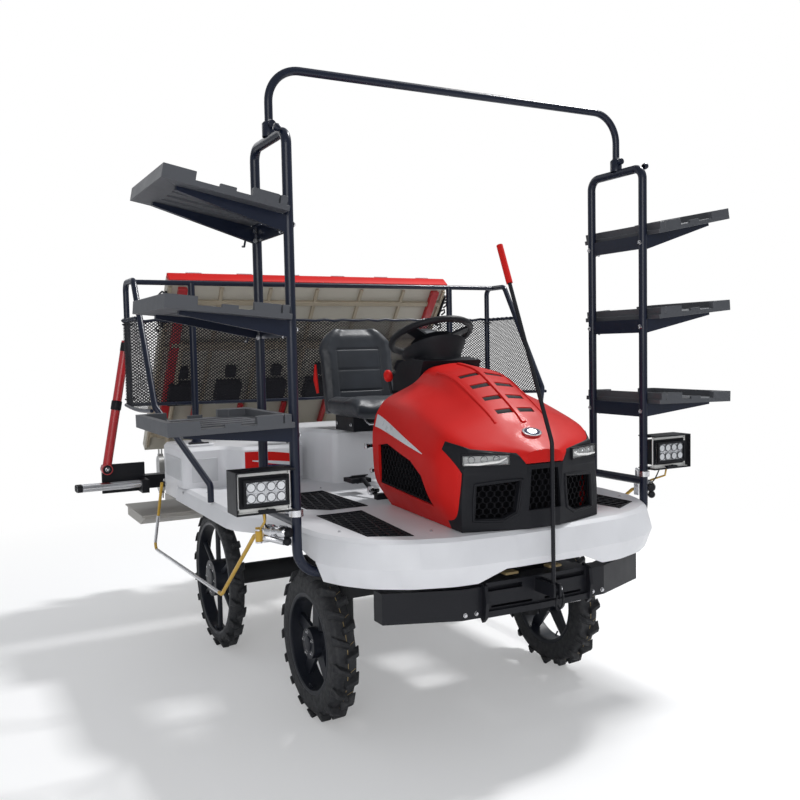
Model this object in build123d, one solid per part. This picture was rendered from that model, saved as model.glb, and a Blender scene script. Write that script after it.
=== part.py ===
from build123d import *
import os
from math import atan2, cos, degrees, hypot, radians, sin

# Rice transplanter for six rows. Millimetres, +Z up, the front faces -Y, the driver's right is -X.
# Everything is laid out from the floor point below the middle of the front axle, and the
# finished pieces are then moved along Y, so that the origin lies below the middle of the machine.
FRONT_AXLE_Y = -773.5           # the front axle's place along Y in the finished model
FAR = 1600.0                    # reach of a cut that runs out of the machine

# ---- wheels and axles ----
WHEELBASE = 1130.0
FRONT_TRACK = 1250.0
FRONT_TYRE_D = 650.0            # over the lugs
FRONT_TYRE_W = 120.0
FRONT_RIM_D = 420.0
REAR_TRACK = 1440.0
REAR_TYRE_D = 740.0             # over the lugs
REAR_TYRE_W = 90.0
REAR_RIM_D = 590.0
# lugs of a tyre: how many in all, standing left and right in turn
FRONT_LUGS = 34
REAR_LUGS = 36
LUG_HEIGHT = 27.0               # from the tread to a lug's top
LUG_SINK = 12.0                 # how far a lug's foot lies below the tread
LUG_OVERLAP = 8.0               # how far a lug runs past the tyre's middle
LUG_SLOPE = 18.0                # how far a lug's outer end leans in from foot to top
LUG_FOOT_HALF = 21.0
LUG_TOP_HALF = 9.0
LUG_SLANT = 0.45                # sideways run of a lug for each millimetre outwards
TYRE_WALL_IN = 7.0              # from the lugs' outer ends in to the side wall
TYRE_SHOULDER = 16.0            # from the side wall in to the tread's edge
TYRE_BEAD_IN = 8.0              # from the side wall in to the bead
FRONT_RIM_W = 84.0
REAR_RIM_W = 54.0
RIM_THICK = 14.0                # radial depth of the rim band
FRONT_HUB_D = 130.0
REAR_HUB_D = 190.0
HUB_LENGTH = 90.0
SPINDLE_D = 40.0
SPINDLE_PLAY = 0.05             # radial running clearance of a hub on its spindle
SPINDLE_REACH = 60.0            # how far a spindle reaches into its hub
FRONT_SPOKES = 5
REAR_SPOKES = 6
SPOKE_W = (72.0, 46.0)          # width of a front spoke at the hub and at the rim
SPOKE_THICK = 16.0
SPOKE_SINK = 12.0               # how far a spoke's foot lies inside the hub
REAR_SPOKE_D = 26.0
KINGPIN_X = 500.0
KINGPIN_D = 84.0
KINGPIN_TOP = 500.0
KNUCKLE_GAP = 6.0               # between the knuckle's top face and the axle's end boss
AXLE_BEAM_H = 90.0
AXLE_BEAM_W = 110.0
REAR_AXLE_D = 110.0
CASE_HALF = 130.0               # half width of the gear cases on the axles
HUB_GAP = 8.0                   # between a hub's inner face and what carries it

# ---- chassis ----
RAIL_X = 210.0
RAIL_W = 60.0
RAIL_H = 80.0
RAIL_Z = 610.0                  # underside of the rails
RAIL_FRONT = -600.0
RAIL_REAR = 1200.0
CROSS_ROWS = (-570.0, 420.0, 980.0)     # places of the cross members between the rails
ARM_H = 60.0                    # deck arms, across the rails
ARM_W = 50.0
ARM_ROWS = ((-400.0, 700.0), (250.0, 840.0), (860.0, 840.0))    # (place along Y, half length)
ENGINE_X = 175.0
ENGINE_Y = (-590.0, -120.0)
ENGINE_TOP = 1130.0

# ---- bumper ----
BUMPER_Z = (560.0, 690.0)
BUMPER_HALF = 620.0
BUMPER_Y = -720.0               # front face in the middle
BUMPER_DEPTH = 70.0
BUMPER_SWEEP = 110.0            # how far the ends lie behind the middle
BUMPER_STRAIGHT = 341.0         # half width of the straight part
BUMPER_CROWN = 15.0             # how far its middle stands out
BUMPER_WING_DROP = 12.0         # how far the swept wings' top lies below the middle's
BUMPER_LIP = (14.0, 24.0)       # how far the lower lip stands out, and its height
# slots in the bumper's face on each side: (from x, to x, from z, to z)
BUMPER_SLOTS = ((75.0, 235.0, 655.0, 674.0), (30.0, 215.0, 592.0, 601.0))
BUMPER_SLOT_DEPTH = 30.0
BUMPER_FIN = (250.0, 14.0)      # place and thickness of the fins
# outline of a fin from the bumper's face and top: (y, z)
FIN_OUTLINE = ((20.0, 10.0), (-24.0, -6.0), (-34.0, -70.0), (-26.0, -128.0), (-4.0, -150.0), (20.0, -120.0))
POLE_FORK = (9.0, 10.0, 25.0)   # gap's half width, cheek thickness and half depth of the pole's fork
POLE_PIN_D = 10.0

# ---- deck ----
DECK_TOP = 885.0
DECK_WALL = 12.0
DECK_RIDGE_Z = 782.0            # the skirt is widest at this height
DECK_TAPER_UP = 15.0            # degrees, from the ridge to the top
DECK_TAPER_DOWN = 20.0          # degrees, from the ridge to the lower edge
DECK_CHAMFER = 14.0
DECK_BEND = 260.0               # radius of the outline's corners
DECK_SKIRT_LOW = 705.0          # lower edge of the skirt at the front
DECK_SKIRT_SIDE = 812.0         # lower edge of the skirt along the sides
DECK_SKIRT_END = -425.0         # where the low skirt ends behind the front corner
DECK_NOTCH_HALF = (185.0, 330.0)        # half widths of the notch in the front skirt, top and bottom
DECK_NOTCH_Z = 752.0
DECK_NOTCH_REAR = -600.0
DECK_SKIRT_SLOPE = (110.0, 27.0)        # run and rise of the step between the two lower edges
DECK_HALF = 950.0
DECK_REAR = 1120.0
# half outline of the deck's ridge from the rear to the front: (x, y)
DECK_OUTLINE = (
    (DECK_HALF, DECK_REAR + 400),
    (DECK_HALF, 190.0),
    (838.0, 10.0),
    (835.0, -200.0),
    (812.0, -400.0),
    (765.0, -530.0),
    (690.0, -640.0),
    (560.0, -730.0),
    (400.0, -785.0),
    (140.0, -803.0),
)
ENGINE_BAY = (250.0, -640.0, -60.0)     # half width, front, rear of the opening under the bonnet
# outlines of the grates on one side: (x, y)
GRATES = (
    ((440.0, -75.0), (645.0, -75.0), (645.0, -555.0), (500.0, -640.0)),
    ((370.0, 515.0), (620.0, 515.0), (620.0, 95.0), (540.0, 20.0), (365.0, 20.0)),
)
GRATE_BAR = 8.0
GRATE_PITCH = 42.0
GRATE_DEPTH = 10.0
GRATE_GAP = 1.0
GRATE_EDGE = 12.0
GRATE_SLOPE = 12.0              # degrees by which the bars lean from the machine's axes

# ---- rear body ----
BODY_TOP = 1090.0
BODY_HALF = 930.0
BODY_FRONT = 970.0
BODY_REAR = 1420.0
BODY_LOW = 812.0
BODY_BULGE = (330.0, 720.0, 850.0)      # x inner, x outer, y of the face that stands forward
PEDESTAL_HALF = 235.0
PEDESTAL_FRONT = 700.0
PEDESTAL_TOP = 1160.0
BODY_BEND = 38.0                # radius of the upright edges
BODY_CHAMFER = 16.0             # round the top
BODY_FLARE = (60.0, 20.0)       # how far the bulge's face leans in at its outer and inner end
PEDESTAL_UPPER = (60.0, 120.0, 30.0)    # how far its raised part lies outside, before and behind
LINK_NOTCH = (250.0, 990.0)             # half width and top of the opening for the links
SKIRT_GAP = 2.0                 # between the deck's rear edge and the body's skirt
HANDLE_PLACE = (820.0, 1080.0)  # (x, y) of the grip recess on each side
HANDLE_SIZE = (150.0, 46.0)     # length and width
HANDLE_RISE = 6.0

# ---- bonnet ----
BONNET_WALL = 12.0
BONNET_BASE = DECK_TOP + 2.0
# half sections of the bonnet from the rear to the nose: (y, ((x, z) from the base to the middle))
BONNET_SECTIONS = (
    (10.0, ((262.0, BONNET_BASE), (345.0, 1010.0), (352.0, 1215.0), (312.0, 1362.0), (170.0, 1435.0),
            (125.0, 1508.0), (0.0, 1528.0))),
    (-330.0, ((290.0, BONNET_BASE), (366.0, 1000.0), (378.0, 1205.0), (330.0, 1338.0), (190.0, 1398.0),
              (130.0, 1468.0), (0.0, 1490.0))),
    (-600.0, ((316.0, BONNET_BASE), (366.0, 990.0), (385.0, 1160.0), (335.0, 1252.0), (215.0, 1288.0),
              (110.0, 1318.0), (0.0, 1322.0))),
    (-700.0, ((325.0, BONNET_BASE), (325.0, 1000.0), (318.0, 1105.0), (290.0, 1192.0), (205.0, 1215.0),
              (105.0, 1236.0), (0.0, 1242.0))),
    (-782.0, ((70.0, BONNET_BASE), (72.0, 960.0), (84.0, 1110.0), (88.0, 1160.0), (70.0, 1178.0),
              (40.0, 1184.0), (0.0, 1186.0))),
)
# rear edge of the bonnet's side view: (y, z)
BONNET_REAR_EDGE = ((-20.0, 1290.0), (-150.0, 1530.0))
# half outline of the dark mask seen from the front: (x, z)
MASK_OUTLINE = (
    (334.0, BONNET_BASE - 20),
    (326.0, 1000.0),
    (316.0, 1107.0),
    (374.0, 1240.0),
    (280.0, 1197.0),
    (118.0, 1177.0),
    (84.0, 1132.0),
)
MASK_REAR = -612.0
# half outlines of the mask's grilles seen from the front: (x, z)
GRILLE_SIDE = ((108.0, 1072.0), (124.0, 955.0), (170.0, 932.0), (276.0, 934.0), (268.0, 1058.0))
GRILLE_MIDDLE = ((76.0, 958.0), (62.0, 1112.0))
HEX_PITCH = 29.0
HEX_WALL = 5.0
GRILLE_THICK = 6.0
GRILLE_INSET = 16.0
HEADLAMP = (183.0, 40.0, 40.0)          # width, depth and height of a headlamp
HEADLAMP_PLACE = (226.0, -712.0, 1154.0)
HEADLAMP_TURN = 21.0
# outline of the honeycomb panel in the bonnet's side: (y, z)
SIDE_PANEL = ((-75.0, 1000.0), (-85.0, 1165.0), (-180.0, 1180.0), (-400.0, 1130.0), (-480.0, 1080.0), (-540.0, 965.0))
SIDE_PANEL_SETBACK = 22.0
# louvres in the bonnet's top: count, first and last place along Y, half widths there
LOUVRES = 4
LOUVRE_ROWS = (-350.0, -590.0)
LOUVRE_INNER = 14.0
LOUVRE_OUTER = (108.0, 90.0)
LOUVRE_SLOT = 26.0

# ---- seat and controls ----
SEAT_HALF = 240.0
SEAT_FRONT = 440.0
SEAT_REAR = 880.0
SEAT_LOW = 1235.0
CUSHION_THICK = 110.0
BACK_THICK = 90.0
BACK_TOP = 1720.0
BACK_LEAN = 8.0                 # degrees
CUSHION_BEND = 60.0             # radius of the cushion's upright corners
BACK_BEND = 90.0                # radius of the back's corners seen from the front
SEAT_JOINT = 1.0                # between cushion and back
SEAT_BASE_HALF = 170.0
SEAT_BASE_Y = (560.0, 780.0)
WHEEL_RIM_D = 400.0
WHEEL_GRIP_D = 30.0
WHEEL_CENTRE = (60.0, 1630.0)   # (y, z) of the steering wheel's middle
WHEEL_DISH = (58.0, 100.0, 26.0, -20.0)     # lower and upper radius, height and top of the wheel's hub
WHEEL_SPOKE = (54.0, 12.0)      # width and thickness
WHEEL_SPOKE_ANGLES = (90.0, 210.0, 330.0)
COLUMN_BOWL = (75.0, 150.0, 120.0, -60.0)   # lower and upper radius, height and top below the wheel
COLUMN_LEAN = 24.0              # degrees
COLUMN_D = 60.0
STEER_SHAFT_D = 24.0
STEER_SHAFT_LENGTH = 150.0
STEER_BORE_END = 175.0
COLUMN_TUBE = (-190.0, 120.0)   # middle and length of the column's tube
DASH_HALF = 150.0
# outline of the dashboard seen from the side, from the deck up: (y, z)
DASH_OUTLINE = ((-8.0, DECK_TOP), (-8.0, 1295.0), (-128.0, 1520.0), (-20.0, 1535.0), (100.0, 1510.0),
                (160.0, 1440.0), (180.0, 1200.0), (120.0, DECK_TOP))
PEDAL_ROUTE = ((150.0, 900.0), (300.0, 960.0), (360.0, 940.0))     # (y, z) along the pedal's arm
PEDAL_X = -250.0
PEDAL_ARM_D = 22.0
PEDAL_PLATE = (50.0, 50.0, 10.0)        # half width, half length and half thickness
LEVER = ((-196.0, 90.0, 1380.0), (-205.0, 100.0, 1450.0))   # foot and top of the lever beside the column
LEVER_D = 14.0
LEVER_KNOB_D = 40.0

# ---- racks, arch and shelves ----
RACK_X = 865.0
RACK_FRONT = -400.0
RACK_REAR = -50.0
RACK_TUBE_D = 38.0
RACK_TOP = 2400.0
RACK_LOW = 920.0                # the lower bar
RACK_BEND = 50.0
RACK_FOOT_Z = 737.0
RACK_FOOT_BEND = 100.0
RACK_FOOT_X = 640.0             # inner end of the foot below the deck
RACK_TIE = (45.0, 15.0)         # length and half width of the plate from the foot up to the deck arm
ARCH_D = 32.0
ARCH_TOP = 2655.0
ARCH_BEND = 130.0
SHELF_INNER = 890.0
SHELF_OUTER = 1350.0
SHELF_FRONT = -480.0
SHELF_REAR = 30.0
SHELF_THICK = 20.0
SHELF_RIM = 50.0
SHELF_RIM_W = 26.0
SHELF_RIM_IN = 12.0             # from the plate's inner edge to the inner rim
SHELF_RETURN = 115.0            # length of the rim's return round the outer corners
SHELF_BLOCK = (130.0, 60.0, 34.0)       # length, width and chamfer of the blocks at the inner corners
SHELF_TAB = (60.0, 14.0, 32.0)  # length, width and height of the tab in the middle of an edge
SHELF_SLOTS = 5
SHELF_SLOT = (300.0, 36.0)      # length and width of a slot
SHELF_TIERS = ((2075.0, 11.0), (1690.0, 5.0), (1300.0, -1.0))   # (height at the rack, tilt in degrees)
BRACKET_DEPTH = 62.0            # of the channel below a shelf's inner edge
BRACKET_THICK = 10.0
BRACKET_TIP = 14.0              # depth of an arm's outer end
BRACKET_W = 24.0
BRACKET_REACH = 0.85            # how far the arms run out, as a share of the shelf's width

# ---- work lamps ----
LAMP_X = 995.0
LAMP_Y = -430.0
LAMP_Z = 1070.0
LAMP_W = 190.0
LAMP_H = 115.0
LAMP_DEPTH = 60.0
LENS_THICK = 12.0
LENS_INSET = 14.0
HOOD_GAP = 16.0
HOOD_WALL = 5.0
HOOD_DEPTH = 110.0
HOOD_FRONT = 25.0               # how far the hood stands out before the lamp
LAMP_FOOT = (30.0, 10.0, 50.0)  # half width, front and rear of the lamp's foot
LAMP_ARM_HALF = (10.0, 6.0)     # half width and half height of the arms to the rack
LAMP_JOINT = 2.0                # how deep foot and arms lie in what carries them

# ---- guard rail and net ----
RAIL_D = 30.0
GUARD_X = 1125.0
GUARD_REAR = 1270.0
GUARD_TOP = 1945.0
GUARD_LEG_LOW = 1300.0
GUARD_BAR_D = 27.0              # bar across behind the seat
GUARD_POST_D = 36.0
GUARD_POST_X = 800.0
GUARD_POST_Y = 1200.0
GUARD_FOOT = (925.0, 520.0)     # (x, y) of the front legs' feet on the deck
GUARD_FOOT_RISE = 80.0
GUARD_ELBOW = (700.0, 1330.0)   # (y, z) where a leg bends back
GUARD_SHOULDER_Y = 1075.0       # where it turns into the level top
RAIL_BEND = 45.0
NET_GAP = 2.0                   # from the rail to the net
NET_FRONT = (960.0, 690.0)      # y of the net's front edge at its top and its bottom
NET_TOP = 1750.0
NET_LOW = 1310.0
NET_THICK = 4.0

# ---- markers ----
POLE_X = 0.0
POLE_FOOT = (-828.0, 655.0)     # (y, z) of the hinge
POLE_KNEE = (-826.0, 1215.0)    # (y, z) where it starts to lean back
POLE_TOP = (-500.0, 1985.0)
POLE_D = 16.0
POLE_BEND = 60.0
POLE_FOOT_D = 30.0
POLE_SIDE_PLAY = 0.5            # between the pole's foot and its fork
GRIP_D = 26.0
GRIP_LENGTH = 170.0
SIDE_ROD_X = 968.0
SIDE_ROD_D = 16.0
SIDE_ROD_HINGE_Y = -270.0
SIDE_BOSS_Z = (855.0, 895.0)
SIDE_BOSS_D = 28.0
SIDE_PIN_D = 12.0
CLAMP_Z = 973.0                 # height of the clamp on the rack's post
CLAMP_H = 24.0
STRUT_D = 14.0
EAR_THICK = 6.0
EAR_GAP = 1.0
# the folded side rod behind its hinge: (y, z)
SIDE_ROD_ROUTE = ((-262.0, 877.0), (-215.0, 865.0), (245.0, 525.0), (1530.0, 480.0), (1300.0, 880.0))

# ---- planting unit ----
LOWER_PIVOT = (1160.0, 520.0)   # (y, z) of the lower links' front pins
LINK_VECTOR = (750.0, 245.0)    # from front pins to rear pins, as the unit stands raised
LINK_HEIGHT = 260.0             # upper link above the lower links
LINK_X = 150.0
LINK_W = 30.0
LINK_H = 50.0
LINK_PLAY = 6.0
PIN_D = 24.0
TIE_D = 30.0                    # cross tie between the lower links
BARREL_X = 75.0                 # the lift cylinder stands beside the upper link
BARREL_PIVOT = (1000.0, 740.0)   # (y, z) of the pin at its base
ROD_EYE = (1300.0, 565.7)       # (y, z) of the cross tie, where the rod ends
BARREL_D = 50.0
BARREL_EYE_W = 30.0
BARREL_START = 60.0             # where the barrel's round body starts, from its pin
BARREL_LENGTH = 250.0
BARREL_BORE = 120.0             # where the bore for the rod starts
LIFT_ROD_D = 25.0
LIFT_ROD_INSIDE = 110.0         # length of rod inside the barrel as the unit stands raised
CYLINDER_PIN_D = 20.0
ROD_EYE_PLAY = 5.0              # play of the rod's eye on the cross tie
ROD_EYE_WALL = 11.0
EAR_W = 8.0
EAR_HALF = 20.0
ROTOR_SHAFT_D = 30.0
ROTOR_HUB_D = 76.0
ROTOR_HUB_W = 60.0
ROTOR_ARM_W = 36.0
ROTOR_SHAFT_IN = 40.0           # how far a shaft reaches into its rotor's hub
BEAM_Y = 1985.0
BEAM_Z = 800.0
BEAM_SIZE = 80.0
BEAM_HALF = 1000.0
ROW_PITCH = 300.0
ROWS = 6
ROTOR_CASE = (230.0, 88.0)      # length and width of a rotor's case
ROTOR_ARM = (15.0, 80.0, 128.0) # half width, start and end of an arm
CLAW_SPREAD = 9.0               # from the row's middle to a tine's middle
CLAW_THICK = 6.0
CLAW_W = 18.0
ROTOR_END_PLAY = 4.0
ROTOR_Y = 2270.0
ROTOR_Z = 800.0
ROTOR_REACH = 160.0
CASE_W = 90.0
CASE_END = (50.0, 40.0)         # how far a case runs behind its shaft, and its half height there
FLOAT_Z = (580.0, 650.0)
FLOAT_SHOULDER = 2120.0
FLOAT_REAR = 2400.0
FLOAT_NOSE = (110.0, 26.0)      # length of the float's upturned nose and height of its tip
FLOAT_LIP = (14.0, 10.0)        # how far the float's lip stands out, and its height
FLOAT_TAIL_HALF = 100.0
FLOAT_POST_HALF = 20.0
# each float's wide front part and tail: (middle along X, width, front along Y, middle of the tail)
FLOATS = (
    (-660.0, 700.0, 1654.0, -600.0),
    (0.0, 560.0, 1680.0, 0.0),
    (660.0, 700.0, 1654.0, 600.0),
)
TABLE_TOP = (1365.0, 1960.0)    # (y, z) of the table's upper end
TABLE_LOW = (2110.0, 985.0)     # (y, z) of its lower end
TABLE_HALF = 880.0
TABLE_THICK = 30.0
TABLE_RIB = 60.0
CARRIER_RAILS = (120.0, 820.0)  # distances of the carrier's cross rails up the table
CARRIER_D = 30.0
CARRIER_GAP = 26.0              # from the table's underside to the rails' axis
CARRIER_HALF = 820.0
GUARD_TUBE_D = 40.0
GUARD_TUBE_Y = 1720.0
GUARD_TUBE_Z = 830.0
GUARD_TUBE_END = 1350.0
MARKER_ARM_D = 50.0
MARKER_HINGE = (1180.0, 1720.0, 925.0)
MARKER_TIP = (1045.0, 1720.0, 1650.0)


def block(xs, ys, zs):
    """A box between two limits along X, Y and Z."""
    limits = (xs, ys, zs)
    size = [abs(high - low) for low, high in limits]
    middle = [(low + high) / 2 for low, high in limits]
    return Pos(*middle) * Box(*size)


def rod(start, end, diameter):
    """A round bar from start to end."""
    run = Vector(*end) - Vector(*start)
    return extrude(Plane(origin=start, z_dir=run) * Circle(diameter / 2), run.length)


def bent_tube(points, diameter, bend):
    """A tube along straight runs joined by arcs."""
    path = FilletPolyline(*points, radius=bend)
    return sweep(Plane(origin=path @ 0, z_dir=path % 0) * Circle(diameter / 2), path=path)


def side_prism(outline, x_from, x_to):
    """A prism along X from an outline of (y, z) points."""
    face = make_face(Polyline(*[(x_from, y, z) for y, z in outline], close=True))
    return extrude(face, amount=abs(x_to - x_from), dir=(1 if x_to > x_from else -1, 0, 0))


def front_prism(half_outline, y_from, y_to):
    """A prism along Y, symmetrical in X, from half an outline of (x, z) points."""
    other_half = [(-x, z) for x, z in reversed(half_outline)]
    points = [(x, y_from, z) for x, z in list(half_outline) + other_half]
    return extrude(make_face(Polyline(*points, close=True)), amount=y_to - y_from, dir=(0, 1, 0))


def plan_prism(half_outline, z_from, z_to, bend, taper=0):
    """A prism along Z with rounded corners, symmetrical in X, from half an outline of (x, y)."""
    other_half = [(-x, y) for x, y in reversed(half_outline)]
    points = [(x, y, z_from) for x, y in list(half_outline) + other_half]
    if z_to > z_from:
        points.reverse()
    face = make_face(FilletPolyline(*points, radius=bend, close=True))
    return extrude(face, amount=abs(z_to - z_from), dir=(0, 0, 1 if z_to > z_from else -1), taper=taper)


def fused(*shapes):
    """One solid from shapes that overlap or touch."""
    return shapes[0] + list(shapes[1:]) if len(shapes) > 1 else shapes[0]


def mirrored(shape):
    """The same shape on the other side of the machine."""
    return mirror(shape, about=Plane.YZ)


def both(shape):
    """A shape and its mirror image."""
    return [shape, mirrored(shape)]


def keep(name, *shapes):
    """Write one node, moved so that the origin is below the machine's middle."""
    solids = [solid for shape in shapes for solid in shape.solids()]
    node = Pos(0, FRONT_AXLE_Y, 0) * Compound(solids)
    export_step(node, f"parts/{name}.step")


# ---------------------------------------------------------------- wheels
def lug(diameter, width, hand):
    """One lug on top of a tyre that turns about the X axis; hand is the side that it runs to."""
    tread = diameter / 2 - LUG_HEIGHT

    def corners(reach, half, height):
        inner, outer = -LUG_OVERLAP, reach
        lean = [LUG_SLANT * (place - width / 4) for place in (inner, outer)]
        return [(hand * inner, lean[0] - half, height), (hand * outer, lean[1] - half, height),
                (hand * outer, lean[1] + half, height), (hand * inner, lean[0] + half, height)]

    foot = corners(width / 2, LUG_FOOT_HALF, tread - LUG_SINK)
    top = corners(width / 2 - LUG_SLOPE, LUG_TOP_HALF, diameter / 2)
    return loft([make_face(Polyline(*points, close=True)) for points in (foot, top)], ruled=True)


def tyre(diameter, width, rim_diameter, lugs):
    """A tyre about the X axis: a ring with a flat face for each lug, and the lugs on it."""
    tread = diameter / 2 - LUG_HEIGHT
    rim = rim_diameter / 2
    wall = width / 2 - TYRE_WALL_IN
    # half of the ring's section from the bead to the tread: (x, distance from the axis)
    half = ((wall - TYRE_BEAD_IN, rim), (wall, (rim + tread) / 2), (wall - TYRE_SHOULDER, tread))
    section = [(-x, distance) for x, distance in half] + [(x, distance) for x, distance in reversed(half)]
    step = 360 / lugs

    def ring(x, distance):
        flat_sided = RegularPolygon(distance, lugs, major_radius=False, rotation=step / 2)
        return Plane(origin=(x, 0, 0), x_dir=(0, 0, -1), z_dir=(1, 0, 0)).location * flat_sided

    body = loft([ring(x, distance) for x, distance in section], ruled=True)
    bore = extrude(ring(-width, rim), 2 * width)
    turned = [Rot(step * number + 180, 0, 0) * lug(diameter, width, 1 if number % 2 else -1)
              for number in range(lugs)]
    return fused(body - bore, *turned)


def blind_hub(diameter):
    """A hub about the X axis, closed on its outer side (-X) and bored for its spindle."""
    hub = Rot(0, 90, 0) * Cylinder(diameter / 2, HUB_LENGTH)
    bore_d = SPINDLE_D + 2 * SPINDLE_PLAY
    bore_length = SPINDLE_REACH + HUB_GAP
    inner_face = HUB_LENGTH / 2
    bore = Pos(inner_face - bore_length / 2, 0, 0) * Rot(0, 90, 0) * Cylinder(bore_d / 2, bore_length)
    return hub - bore


def front_rim():
    """Rim band, broad flat spokes and hub of a front wheel."""
    outer = FRONT_RIM_D / 2
    band = Rot(0, 90, 0) * (Cylinder(outer, FRONT_RIM_W) - Cylinder(outer - RIM_THICK, FRONT_RIM_W))
    at_hub, at_rim = [width / 2 for width in SPOKE_W]
    low, high = FRONT_HUB_D / 2 - SPOKE_SINK, outer - RIM_THICK / 2
    outline = ((-at_hub, low), (at_hub, low), (at_rim, high), (-at_rim, high))
    spoke = side_prism(outline, -SPOKE_THICK / 2, SPOKE_THICK / 2)
    spokes = [Rot(360 / FRONT_SPOKES * number, 0, 0) * spoke for number in range(FRONT_SPOKES)]
    return fused(blind_hub(FRONT_HUB_D), band, *spokes)


def rear_rim():
    """Rim band, round spokes and drum hub of a rear wheel."""
    outer = REAR_RIM_D / 2
    band = Rot(0, 90, 0) * (Cylinder(outer, REAR_RIM_W) - Cylinder(outer - RIM_THICK, REAR_RIM_W))
    spoke = rod((0, 0, REAR_HUB_D / 2 - SPOKE_SINK), (0, 0, outer - RIM_THICK / 2), REAR_SPOKE_D)
    spokes = [Rot(360 / REAR_SPOKES * number, 0, 0) * spoke for number in range(REAR_SPOKES)]
    return fused(blind_hub(REAR_HUB_D), band, *spokes)


def hub_inner(track):
    """X of a right hub's inner face."""
    return -track / 2 + HUB_LENGTH / 2


def wheels():
    front_place = Pos(-FRONT_TRACK / 2, 0, FRONT_TYRE_D / 2)
    rear_place = Pos(-REAR_TRACK / 2, WHEELBASE, REAR_TYRE_D / 2)
    front_tyre = front_place * tyre(FRONT_TYRE_D, FRONT_TYRE_W, FRONT_RIM_D, FRONT_LUGS)
    rear_tyre = rear_place * tyre(REAR_TYRE_D, REAR_TYRE_W, REAR_RIM_D, REAR_LUGS)
    for name, shape in (
        ("front_tyre", front_tyre),
        ("front_rim", front_place * front_rim()),
        ("rear_tyre", rear_tyre),
        ("rear_rim", rear_place * rear_rim()),
    ):
        keep(f"{name}_right", shape)
        keep(f"{name}_left", mirrored(shape))


def knuckles():
    """Drop case below each end of the front axle, with the spindle of the wheel."""
    centre = FRONT_TYRE_D / 2
    low = centre - KINGPIN_D / 2 - 14
    case = Pos(-KINGPIN_X, 0, (low + KINGPIN_TOP) / 2) * Cylinder(KINGPIN_D / 2, KINGPIN_TOP - low)
    inner = hub_inner(FRONT_TRACK)
    neck = rod((-KINGPIN_X, 0, centre), (inner + HUB_GAP, 0, centre), KINGPIN_D * 0.85)
    spindle = rod((-KINGPIN_X, 0, centre), (inner - SPINDLE_REACH, 0, centre), SPINDLE_D)
    knuckle = fused(case, neck, spindle)
    keep("knuckle_right", knuckle)
    keep("knuckle_left", mirrored(knuckle))


def axles():
    boss_low = KINGPIN_TOP + KNUCKLE_GAP
    boss_top = boss_low + AXLE_BEAM_H
    beam = block((-KINGPIN_X, KINGPIN_X), (-AXLE_BEAM_W / 2, AXLE_BEAM_W / 2), (boss_low, boss_top - 20))
    bosses = [Pos(x, 0, (boss_low + boss_top) / 2) * Cylinder(KINGPIN_D / 2 + 12, AXLE_BEAM_H)
              for x in (-KINGPIN_X, KINGPIN_X)]
    case = block((-CASE_HALF, CASE_HALF), (-150, 330), (400, RAIL_Z))
    keep("front_axle", fused(beam, case, *bosses))
    centre = REAR_TYRE_D / 2
    inner = -hub_inner(REAR_TRACK)
    tube = rod((-inner + HUB_GAP, WHEELBASE, centre), (inner - HUB_GAP, WHEELBASE, centre), REAR_AXLE_D)
    spindle_end = inner + SPINDLE_REACH
    spindle = rod((-spindle_end, WHEELBASE, centre), (spindle_end, WHEELBASE, centre), SPINDLE_D)
    gear_case = block((-CASE_HALF, CASE_HALF), (WHEELBASE - 190, WHEELBASE + 70), (centre - 110, centre + 90))
    stays = [block((x - 35, x + 35), (WHEELBASE - 180, WHEELBASE - 100), (centre, RAIL_Z)) for x in (-RAIL_X, RAIL_X)]
    shaft = rod((0, 330, centre + 60), (0, WHEELBASE - 180, centre + 60), 50)
    flanges = [rod((x, WHEELBASE, centre), (x + step, WHEELBASE, centre), REAR_AXLE_D + 60)
               for x, step in ((-inner + HUB_GAP, 25), (inner - HUB_GAP, -25))]
    cross = block((-RAIL_X, RAIL_X), (WHEELBASE - 170, WHEELBASE - 110), (centre - 40, centre + 60))
    keep("rear_axle", fused(tube, spindle, gear_case, cross, *stays, *flanges, shaft))


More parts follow.
